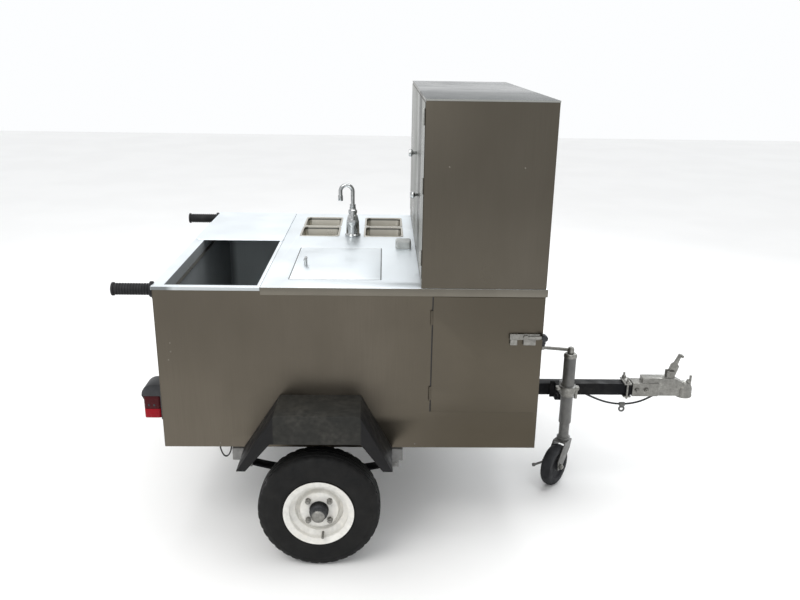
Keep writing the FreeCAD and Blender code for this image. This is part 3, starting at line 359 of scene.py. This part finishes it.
def mirror_top():
    """Smooth sheet on top of the cabinet, with dark and pale blotches that are painted reflections."""
    surface = brushed("top_steel", (0.13, 0.138, 0.14), (0.11, 0.117, 0.118), (0.16, 0.168, 0.17),
                      0.2, grain="Y", depth=0.000005)
    # Painted reflections: dark and pale patches drawn out across the top.
    reflection_stretch = (1.0, 0.5, 1.0)
    surface.blotch((0.11, 0.118, 0.12), 4.0, 0.30, reflection_stretch, soft=0.5)
    surface.blotch((0.24, 0.25, 0.25), 5.5, 0.25, reflection_stretch, soft=0.5)
    return surface.metal(0.5, (0.5, 0.5, 0.5)).dull(0.15).done()


def cabinet_face():
    """Bright sheet of the cabinet's face, with a broad dark band down the near door that is a painted
    reflection.
    """
    surface = brushed("door_steel", (0.27, 0.275, 0.262), (0.19, 0.19, 0.178), (0.37, 0.375, 0.36), 0.3)
    near_fade, far_fade, upward_fade = (-0.40, -0.35), (-0.17, -0.22), (0.97, 1.08)
    # Painted reflection: a dark band down the near door, stronger higher up.
    across = surface.along(Y)
    band = surface.times(surface.span(across, *near_fade), surface.span(across, *far_fade))
    strength = surface.span(surface.along(Z), *upward_fade, 0.35, 0.95)
    surface.tint((0.060, 0.061, 0.055), surface.times(band, strength))
    return surface.metal(0.15, (0.3, 0.3, 0.3)).dull(0.05).done()


def fender_paint():
    """Black fender paint with dust, and painted shade that darkens the two sloping legs."""
    surface = painted("fender_paint", (0.024, 0.024, 0.022), (0.044, 0.042, 0.037), 0.45,
                      sheen=0.12)
    lengthways = surface.along(X)
    # Painted shade on the sloping legs beyond these lengths.
    for top_x, leg_x in ((-0.553, -0.558), (-0.278, -0.273)):
        surface.tint((0.009, 0.009, 0.010), surface.span(lengthways, top_x, leg_x, 0.0, 0.85))
    return surface.done()


def pan_sheet():
    """Pressed pan, darker just under the rim where the deck shades it."""
    surface = brushed("pan_steel", (0.52, 0.50, 0.44), (0.38, 0.36, 0.31), (0.66, 0.63, 0.57), 0.3, grain="X")
    lower_fade, upper_fade = (0.923, 0.926), (0.932, 0.930)
    height = surface.along(Z)
    edge = surface.times(surface.span(height, *lower_fade), surface.span(height, *upper_fade))
    return surface.tint((0.12, 0.12, 0.11), edge)


def make_materials():
    """Every slot of the record with its finished material."""
    surfaces = {
        "side_steel": side_sheet(),
        # The deck's near-white is a painted reflection of the bright sky, on the same stainless as the sides.
        "deck_steel": brushed("deck_steel", (0.83, 0.88, 0.91), (0.78, 0.83, 0.86), (0.88, 0.92, 0.945),
                              0.4, grain="X"),
        "bin_steel": tank_steel(),
        # The cabinet's dark brown, like the body sides', is a painted reflection of the ground.
        "cabinet_steel": brushed("cabinet_steel", (0.100, 0.089, 0.071), (0.073, 0.064, 0.050),
                                 (0.128, 0.115, 0.096), 0.33),
        "pan_steel": pan_sheet(),
        "chrome": plated("chrome", (0.60, 0.61, 0.61), (0.36, 0.37, 0.37), 0.12),
        "zinc": plated("zinc", (0.36, 0.355, 0.33), (0.22, 0.215, 0.20), 0.38),
        "black_paint": painted("black_paint", (0.009, 0.0095, 0.011), (0.026, 0.025, 0.023), 0.45,
                               sheen=0.07),
        "frame_paint": painted("frame_paint", (0.17, 0.17, 0.165), (0.27, 0.26, 0.24), 0.5),
        "jack_paint": painted("jack_paint", (0.080, 0.079, 0.075), (0.13, 0.127, 0.115), 0.36,
                              dust_share=0.25, sheen=0.9),
        "rim_paint": painted("rim_paint", (0.78, 0.77, 0.73), (0.66, 0.63, 0.57), 0.35, dust_share=0.12),
        "tyre": tyre_rubber(),
        "black_plastic": moulded("black_plastic", (0.016, 0.017, 0.019), 0.45, sheen=0.3),
        "grip_rubber": moulded("grip_rubber", (0.009, 0.009, 0.010), 0.6, sheen=0.2),
        "grey_plastic": moulded("grey_plastic", (0.24, 0.25, 0.245), 0.4),
        "lens_red": lens_plastic(),
        "tank_plastic": milky_tank(),
        "pump_plastic": moulded("pump_plastic", (0.02, 0.05, 0.13), 0.4),
        "gas_paint": painted("gas_paint", (0.30, 0.33, 0.34), (0.42, 0.42, 0.40), 0.4),
        "burner_iron": moulded("burner_iron", (0.025, 0.024, 0.023), 0.8, grain=200.0),
        "wheel_rubber": moulded("wheel_rubber", (0.014, 0.0145, 0.016), 0.6, sheen=0.15),
        "cable_sleeve": moulded("cable_sleeve", (0.010, 0.010, 0.011), 0.4, sheen=0.3),
    }
    return {slot: surface.done() for slot, surface in surfaces.items()}


# ---------------------------------------------------------------- mesh helpers

WELD = 1e-6                             # points closer than this are one
FLAT_ANGLE = math.radians(0.6)          # faces that meet flatter than this are one
CORNER_ANGLE = math.radians(40.0)       # edges sharper than this are rounded


def piece_from(name, mesh, body, material):
    """Link a mesh as a piece of the cart."""
    piece = bpy.data.objects.new(name, mesh)
    bpy.context.scene.collection.objects.link(piece)
    mesh.materials.clear()
    mesh.materials.append(material)
    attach(piece, body)
    return piece


def apply_modifiers(piece):
    """Bake a piece's modifiers into its mesh."""
    graph = bpy.context.evaluated_depsgraph_get()
    mesh = bpy.data.meshes.new_from_object(piece.evaluated_get(graph))
    piece.modifiers.clear()
    piece.data = mesh


def smooth(mesh, degrees=32.0):
    """Smooth shading with sharp edges kept."""
    mesh.shade_smooth()
    mesh.set_sharp_from_angle(angle=math.radians(degrees))


def refined(node, width, segments=2):
    """Stand-in for a CAD node with flat faces joined up and its edges rounded."""
    mesh = frame["nodes"][node].data.copy()
    builder = bmesh.new()
    builder.from_mesh(mesh)
    bmesh.ops.remove_doubles(builder, verts=builder.verts, dist=WELD)
    bmesh.ops.dissolve_limit(builder, angle_limit=FLAT_ANGLE, verts=builder.verts, edges=builder.edges)
    builder.to_mesh(mesh)
    builder.free()
    piece = piece_from(node + "_shape", mesh, BODY_OF[node], MATERIALS[SLOT_OF[node]])
    bevel = piece.modifiers.new("edges", "BEVEL")
    bevel.width = width
    bevel.segments = segments
    bevel.limit_method = "ANGLE"
    bevel.angle_limit = CORNER_ANGLE
    bevel.use_clamp_overlap = False
    apply_modifiers(piece)
    low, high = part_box(node)
    for vertex in piece.data.vertices:
        vertex.co = [min(max(vertex.co[axis], low[axis]), high[axis]) for axis in range(3)]
    smooth(piece.data)
    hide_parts(node)
    return piece


def lathe(profile, centre, axis, steps):
    """Closed mesh of revolution: a ring of (radius, height) points turned about an axis."""
    builder = bmesh.new()
    turn = Vector((0, 0, 1)).rotation_difference(Vector(axis)).to_matrix().to_4x4()
    move = Matrix.Translation(centre) @ turn
    rings = []
    for step in range(steps):
        angle = 2 * math.pi * step / steps
        rings.append([builder.verts.new(move @ Vector((r * math.cos(angle), r * math.sin(angle), h)))
                      for r, h in profile])
    count = len(profile)
    for step, ring in enumerate(rings):
        after = rings[(step + 1) % steps]
        for k in range(count):
            other = (k + 1) % count
            builder.faces.new((ring[k], after[k], after[other], ring[other]))
    bmesh.ops.remove_doubles(builder, verts=builder.verts, dist=WELD)
    bmesh.ops.recalc_face_normals(builder, faces=builder.faces)
    mesh = bpy.data.meshes.new("turned")
    builder.to_mesh(mesh)
    builder.free()
    return mesh


def bars(boxes, round_edge=0.0004):
    """One mesh of several rounded bars, each given by its two corners."""
    builder = bmesh.new()
    for low, high in boxes:
        low, high = Vector(low), Vector(high)
        made = bmesh.ops.create_cube(builder, size=1.0)["verts"]
        for vert in made:
            vert.co = Vector(((vert.co[i] + 0.5) * (high[i] - low[i]) + low[i] for i in range(3)))
    bmesh.ops.bevel(builder, geom=list(builder.edges), offset=round_edge, segments=2, affect="EDGES")
    mesh = bpy.data.meshes.new("bars")
    builder.to_mesh(mesh)
    builder.free()
    smooth(mesh)
    return mesh


def domes(centres, normal, radius, height):
    """Low round heads, such as rivets, on a flat face."""
    builder = bmesh.new()
    turn = Vector((0, 0, 1)).rotation_difference(Vector(normal)).to_matrix().to_4x4()
    rings, around = 4, 14
    turns = [2 * math.pi * k / around for k in range(around)]
    for centre in centres:
        move = Matrix.Translation(centre) @ turn
        last = None
        for ring in range(rings):
            lift = math.pi / 2 * ring / rings
            reach, rise = radius * math.cos(lift), height * math.sin(lift)
            places = [Vector((reach * math.cos(a), reach * math.sin(a), rise)) for a in turns]
            now = [builder.verts.new(move @ place) for place in places]
            if last is None:
                builder.faces.new(now[::-1])
            else:
                for k in range(around):
                    builder.faces.new((last[k], last[(k + 1) % around], now[(k + 1) % around], now[k]))
            last = now
        builder.faces.new(last)
    mesh = bpy.data.meshes.new("domes")
    builder.to_mesh(mesh)
    builder.free()
    smooth(mesh, degrees=60.0)
    return mesh


# ---------------------------------------------------------------- the cart's pieces

MATERIALS = make_materials()
TRIM_STEEL = brushed("trim_steel", (0.165, 0.152, 0.126), (0.12, 0.11, 0.092), (0.23, 0.215, 0.185),
                     0.3, grain="X").done()
TOP_STEEL = mirror_top()
DOOR_STEEL = cabinet_face()
FENDER_PAINT = fender_paint()
HINGE_STEEL = plated("hinge_steel", (0.40, 0.405, 0.39), (0.30, 0.305, 0.29), 0.35).metal(0.3).done()

# How wide the rounding is on each visible node's edges, in mm.
EDGE_WIDTHS = {
    "rear_panel": 0.6, "front_panel": 0.6, "near_side_panel": 0.6, "far_side_panel": 0.6,
    "compartment_door": 0.9, "door_latch_base": 1.5, "door_latch_handle": 1.5, "cabinet_shell": 0.9,
    "near_cabinet_door": 0.9, "far_cabinet_panel": 0.9, "worktop": 0.8, "bin_liner": 0.7, "bin_lid": 1.0,
    "work_lid": 0.8, "work_lid_knob": 1.0, "wash_basins": 0.5, "faucet_body": 0.8, "faucet_spout": 0.5,
    "faucet_lever": 1.2, "push_handles": 0.9, "light_housings": 2.0, "light_lenses": 1.5, "fenders": 1.2,
    "tongue_tube": 2.0, "chassis_frame": 1.5, "axle_beam": 2.0, "coupler_body": 1.2, "coupler_lever": 1.0,
    "jack_bracket": 1.2, "jack_outer_tube": 1.2, "jack_cap": 1.0, "jack_inner_tube": 0.8, "jack_crank": 0.8,
    "crank_knob": 1.0, "caster_fork": 0.8, "caster_wheel": 0.8, "caster_brake_lever": 1.0,
    "near_rim": 0.8, "far_rim": 0.8, "near_hub": 1.0, "far_hub": 1.0, "near_wheel_hardware": 0.8,
    "far_wheel_hardware": 0.8, "gas_cylinder": 1.5, "cabinet_door_pull": 0.8, "cabinet_turn_latch": 0.8,
}


def dress_cad_nodes():
    """Give every CAD node the finished material of its slot."""
    for node, piece in frame["nodes"].items():
        for place in piece.material_slots:
            place.material = MATERIALS[SLOT_OF[node]]


def refine_nodes():
    """Round the edges of the visible CAD nodes."""
    return {node: refined(node, width * MM) for node, width in EDGE_WIDTHS.items()}


def paint_faces(piece, material, chosen):
    """Give some faces of a piece a second material."""
    piece.data.materials.append(material)
    index = len(piece.data.materials) - 1
    for face in piece.data.polygons:
        if chosen(face.center, face.normal):
            face.material_index = index


FACE_STEP = 0.0004          # faces further apart than this are told apart


def two_tone_sheets(shapes):
    """Folded lip, bin rim, cabinet top and cabinet face: the same sheet given the colours of differently lit
    faces, as painted light, shade and reflection.
    """
    deck_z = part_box("worktop")[1].z
    rear_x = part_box("rear_panel")[0].x
    rim_sheet, top_skin = 0.0021, 0.0006
    cabinet_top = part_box("cabinet_shell")[1].z
    paint_faces(shapes["worktop"], TRIM_STEEL, lambda at, way: way.z < 0.5 and at.z < deck_z - FACE_STEP)
    paint_faces(shapes["bin_liner"], MATERIALS["deck_steel"],
                lambda at, way: (at.z > deck_z - rim_sheet and way.z > 0.3) or at.x < rear_x - FACE_STEP)
    paint_faces(shapes["cabinet_shell"], TOP_STEEL,
                lambda at, way: at.z > cabinet_top - top_skin and way.z > 0.5)
    for node in ("near_cabinet_door", "far_cabinet_panel"):
        paint_faces(shapes[node], DOOR_STEEL, lambda at, way: way.x < -0.3)


def two_tone_hardware(shapes):
    """Door hinge, fenders, door latch, jack collar and caster fork."""
    leaf_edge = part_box("near_cabinet_door")[0].y + 2.6 * MM
    knob_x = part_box("door_latch_base")[1].x + 3.5 * MM
    low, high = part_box("jack_inner_tube")
    axis_x, axis_y = (low.x + high.x) / 2, (low.y + high.y) / 2
    tube_r, fork_top = 24.6 * MM, 0.1       # zinc lies outside the first and below the second
    paint_faces(shapes["near_cabinet_door"], HINGE_STEEL, lambda at, way: at.y < leaf_edge)
    paint_faces(shapes["fenders"], FENDER_PAINT, lambda at, way: True)
    paint_faces(shapes["door_latch_handle"], MATERIALS["zinc"], lambda at, way: at.x < knob_x)
    paint_faces(shapes["jack_outer_tube"], MATERIALS["zinc"],
                lambda at, way: math.hypot(at.x - axis_x, at.y - axis_y) > tube_r)
    paint_faces(shapes["caster_fork"], MATERIALS["zinc"], lambda at, way: at.z < fork_top)


def two_tone_wheels(shapes):
    """Dark flank of each grease cap, round its bright face."""
    cap_inner, cap_outer, cap_reach = 0.0205, 0.033, 0.0725
    for side in ("near", "far"):
        low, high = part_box(side + "_rim")
        wheel = (low + high) / 2
        cap_end = abs(wheel.y) + cap_reach

        def on_cap(at, way):
            radius = math.hypot(at.x - wheel.x, at.z - wheel.z)
            return cap_inner < radius < cap_outer and abs(at.y) < cap_end

        paint_faces(shapes[side + "_wheel_hardware"], MATERIALS["black_plastic"], on_cap)


TYRE_STEPS = 144
CUT_STEPS = 4                               # one step in this many is a cut in the shoulder
CUT_FROM_R, CUT_FROM_Y, CUT_DEPTH = 0.1985, 0.0255, 0.0026
# (radius, half width) in mm, from the bead over the wall and the shoulder to the middle of the tread.
HALF_TYRE = [(102, 44), (110, 45.5), (118, 47), (123, 52), (129, 54.5), (133, 54.2), (136, 55.8),
             (150, 57.6), (160, 58), (172, 56.8), (175, 55.2), (178, 55.6), (186, 52), (193, 48.5),
             (199, 44), (202.2, 37), (203.2, 30.5), (198.6, 29.5), (198.6, 26.5), (203.8, 25.5),
             (204.3, 11), (199.6, 10), (199.6, 7.6), (204.5, 6.6)]
TYRE_INSIDE = [(108, -36), (108, 36)]


def add_tyre(side):
    """Tyre with four grooves round its tread, cut shoulders and a ringed wall."""
    node = side + "_tyre"
    low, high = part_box(node)
    centre = (low + high) / 2
    outward = -1 if side == "near" else 1
    outline = HALF_TYRE + [(r, -h) for r, h in HALF_TYRE[::-1]] + TYRE_INSIDE
    profile = [(r * MM, h * MM) for r, h in outline]
    mesh = lathe(profile, centre, (0, outward, 0), TYRE_STEPS)
    for vert in mesh.vertices:
        rel = vert.co - centre
        radius = math.hypot(rel.x, rel.z)
        shift = CUT_STEPS // 2 if rel.y > 0 else 0
        step = round(math.atan2(rel.z, rel.x) / (2 * math.pi) * TYRE_STEPS + shift)
        if step % CUT_STEPS == 0 and radius > CUT_FROM_R and abs(rel.y) > CUT_FROM_Y:
            shrink = 1 - CUT_DEPTH / radius
            vert.co = Vector((centre.x + rel.x * shrink, vert.co.y, centre.z + rel.z * shrink))
    smooth(mesh, degrees=38.0)
    piece = piece_from(side + "_tyre_shape", mesh, side + "_wheel", MATERIALS["tyre"])
    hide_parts(node)


# Route of the safety cable, the same points as its solid.
CABLE_ROUTE = ((0.640, 0.0, 0.304), (0.686, 0.0, 0.281), (0.742, 0.002, 0.262), (0.800, 0.003, 0.255),
               (0.852, 0.002, 0.262), (0.896, 0.0, 0.279), (0.931, 0.0, 0.3016))
CABLE_DIAMETER = 0.008


def add_cable():
    """Safety cable that hangs under the tongue."""
    data = bpy.data.curves.new("safety_cable_line", "CURVE")
    data.dimensions = "3D"
    data.resolution_u = 16
    data.bevel_depth = CABLE_DIAMETER / 2
    data.bevel_resolution = 5
    data.use_fill_caps = True
    line = data.splines.new("NURBS")
    line.points.add(len(CABLE_ROUTE) - 1)
    for point, place in zip(line.points, CABLE_ROUTE):
        point.co = (*place, 1.0)
    line.order_u = 3
    line.use_endpoint_u = True
    cable = bpy.data.objects.new("safety_cable_line", data)
    bpy.context.scene.collection.objects.link(cable)
    data.materials.append(MATERIALS["cable_sleeve"])
    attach(cable, "cart")
    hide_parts("safety_cable")


EYE_HALF, EYE_DROP = 0.007, 0.002
EYE_TOPS = (0.3098, 0.3058)         # under the tongue, and under the coupler


def add_cable_eyes():
    """Eyes that hold the cable's two ends."""
    eyes = []
    for (x, y, z), top in zip((CABLE_ROUTE[0], CABLE_ROUTE[-1]), EYE_TOPS):
        eyes.append(((x - EYE_HALF, y - EYE_HALF, z - EYE_DROP), (x + EYE_HALF, y + EYE_HALF, top)))
    piece_from("cable_eyes", bars(eyes, round_edge=0.002), "cart", MATERIALS["zinc"])


RIVET_RADIUS, RIVET_HEIGHT = 0.0030, 0.0011
FOOT_ROW, ROOF_ROW = 0.374, 1.325           # heights of the rows at the body's foot and the cabinet's top
ROW_Y = (-0.45, -0.15, 0.15, 0.45)
SIDE_RIVETS = ((-0.905, 0.740), (-0.905, 0.709), (-0.914, 0.680), (-0.760, FOOT_ROW), (-0.095, FOOT_ROW),
               (-0.007, ROOF_ROW), (0.226, ROOF_ROW))
FAR_RIVET = (0.1, FOOT_ROW)                 # where the near side has its door


def add_rivets():
    """Blind rivets of the side sheets and of the cabinet."""
    near_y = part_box("near_side_panel")[0].y
    far_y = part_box("far_side_panel")[1].y
    rear_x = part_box("rear_panel")[0].x
    front_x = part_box("front_panel")[1].x
    near = [(x, near_y, z) for x, z in SIDE_RIVETS]
    far = [(x, far_y, z) for x, z in (*SIDE_RIVETS, FAR_RIVET)]
    rear = [(rear_x, y, FOOT_ROW) for y in ROW_Y]
    front = [(front_x, y, z) for y in ROW_Y for z in (FOOT_ROW, ROOF_ROW)]
    for name, centres, way in (("near_rivets", near, (0, -1, 0)), ("far_rivets", far, (0, 1, 0)),
                               ("rear_rivets", rear, (-1, 0, 0)), ("front_rivets", front, (1, 0, 0))):
        mesh = domes(centres, way, RIVET_RADIUS, RIVET_HEIGHT)
        piece_from(name, mesh, "cart", TRIM_STEEL)


def add_cabinet_trim():
    """Folded edge round the top of the cabinet, in the bright face sheet as a painted highlight along the
    edge.
    """
    low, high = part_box("cabinet_shell")
    z0, z1, thick = high.z - 0.0055, high.z - 0.0002, 0.0010
    strips = [((low.x, low.y - thick, z0), (high.x, low.y, z1)),
              ((low.x, high.y, z0), (high.x, high.y + thick, z1)),
              ((high.x, low.y, z0), (high.x + thick, high.y, z1)),
              ((low.x - thick, low.y, z0), (low.x, high.y, z1))]
    piece_from("cabinet_trim", bars(strips), "cart", DOOR_STEEL)


DOOR_EDGE_X = -0.044        # hinge edge of the gas door's sheet
SHADE_STRIP_GAP = 0.0003           # between a shade strip and the sheet beside it


def lid_gap_shade():
    """Dark strip in the gap round the work lid, painted shade of the gap: flush on the near and hitch sides
    and sunk on the other two.
    """
    low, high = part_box("work_lid")
    gap, z0, z1 = 0.0026, high.z - 0.0022, high.z - 0.0003
    sunk = z1 - 0.0010
    return [((low.x - gap, low.y - gap, z0), (high.x + gap, low.y, z1)),
            ((low.x - gap, high.y, z0), (high.x + gap, high.y + gap, sunk)),
            ((low.x - gap, low.y, z0), (low.x, high.y, sunk)),
            ((high.x, low.y, z0), (high.x + gap, high.y, z1))]


def door_gap_shade():
    """Dark strip along the gas door's hinge side, painted shade of the slit there."""
    low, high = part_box("compartment_door")
    panel_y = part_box("near_side_panel")[0].y
    slit, proud = 0.0038, 0.0008
    return [((DOOR_EDGE_X - slit, panel_y - proud, low.z), (DOOR_EDGE_X - SHADE_STRIP_GAP, panel_y, high.z))]


def slot_gap_shade():
    """Dark strip in the slot between the cabinet's door and its fixed panel, painted shade of the slot."""
    low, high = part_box("far_cabinet_panel")
    face_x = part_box("cabinet_shell")[0].x
    slot, proud = 0.0036, 0.0012
    return [((face_x - proud, low.y - slot, low.z), (face_x, low.y - SHADE_STRIP_GAP, high.z))]


def add_gap_shade_strips():
    """Dark strips of painted shade in the gaps of the work lid, the gas door and the cabinet."""
    strips = lid_gap_shade() + door_gap_shade() + slot_gap_shade()
    piece_from("gap_shade_strips", bars(strips, round_edge=0.0002), "cart", MATERIALS["cable_sleeve"])


def add_bin_ledge():
    """Ledge inside the bin for inserts, a little below the rim."""
    z1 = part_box("bin_liner")[1].z - 0.040
    z0 = z1 - 0.003
    x0, x1, y1, deep = -0.915, -0.616, 0.545, 0.012
    strips = [((x0, -y1, z0), (x0 + deep, y1, z1)), ((x1 - deep, -y1, z0), (x1, y1, z1)),
              ((x0 + deep, y1 - deep, z0), (x1 - deep, y1, z1))]
    piece_from("bin_ledge", bars(strips), "cart", TRIM_STEEL)


def add_leaf_springs():
    """Leaf springs in two halves, cut across at their middle."""
    whole = refined("leaf_springs", 0.8 * MM)
    middle = (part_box("leaf_springs")[0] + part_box("leaf_springs")[1]) / 2
    for name, way in (("front_springs", 1), ("rear_springs", -1)):
        mesh = whole.data.copy()
        builder = bmesh.new()
        builder.from_mesh(mesh)
        everything = builder.verts[:] + builder.edges[:] + builder.faces[:]
        cut = bmesh.ops.bisect_plane(builder, geom=everything, plane_co=middle, plane_no=(way, 0, 0),
                                     clear_inner=True)
        rims = [part for part in cut["geom_cut"] if isinstance(part, bmesh.types.BMEdge)]
        bmesh.ops.edgenet_fill(builder, edges=rims)
        builder.to_mesh(mesh)
        builder.free()
        half = bpy.data.objects.new(name, mesh)
        bpy.context.scene.collection.objects.link(half)
        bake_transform(half)
        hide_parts("leaf_springs")
    bpy.data.objects.remove(whole)


WIRE_MIDDLE = (-0.752, -0.520, 0.3605)
WIRE_SPREAD = (0.020, 0.006, 0.062)         # half sizes of the loop
WIRE_RADIUS = 0.0028


def add_wire_loop():
    """Loop of lighting wire that shows under the rear of the body."""
    data = bpy.data.meshes.new("wire_loop")
    builder = bmesh.new()
    around, along = 10, 40
    side = Vector((0, 1, 0))
    rings = []
    for step in range(along + 1):
        turn = math.pi * (1.0 + step / along)
        swing = (math.cos(turn), math.cos(turn), math.sin(turn))
        centre = Vector([at + half * part for at, half, part in zip(WIRE_MIDDLE, WIRE_SPREAD, swing)])
        out = Vector((math.cos(turn), 0, math.sin(turn)))
        rings.append([builder.verts.new(centre + WIRE_RADIUS * (math.cos(a) * out + math.sin(a) * side))
                      for a in (2 * math.pi * k / around for k in range(around))])
    for first, second in zip(rings, rings[1:]):
        for k in range(around):
            other = (k + 1) % around
            builder.faces.new((first[k], first[other], second[other], second[k]))
    builder.faces.new(rings[0])
    builder.faces.new(rings[-1][::-1])
    bmesh.ops.recalc_face_normals(builder, faces=builder.faces)
    builder.to_mesh(data)
    builder.free()
    smooth(data, degrees=50.0)
    piece_from("wire_loop", data, "cart", MATERIALS["cable_sleeve"])


SCREW_X, SCREW_Z = (-1.000, -0.982), 0.503
SCREW_RADIUS, SCREW_HEIGHT = 0.0042, 0.0014


def add_lens_screws():
    """Two dark screws in each side of the upper lens."""
    low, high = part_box("light_lenses")
    for name, side, y in (("near_lens_screws", -1, low.y), ("far_lens_screws", 1, high.y)):
        mesh = domes([(x, y, SCREW_Z) for x in SCREW_X], (0, side, 0), SCREW_RADIUS, SCREW_HEIGHT)
        piece_from(name, mesh, "cart", MATERIALS["black_plastic"])


add_camera()
add_stage()
dress_cad_nodes()
SHAPES = refine_nodes()
two_tone_sheets(SHAPES)
two_tone_hardware(SHAPES)
two_tone_wheels(SHAPES)
for side_name in ("near", "far"):
    add_tyre(side_name)
add_cable()
add_cable_eyes()
add_rivets()
add_cabinet_trim()
add_gap_shade_strips()
add_bin_ledge()
add_leaf_springs()
add_wire_loop()
add_lens_screws()
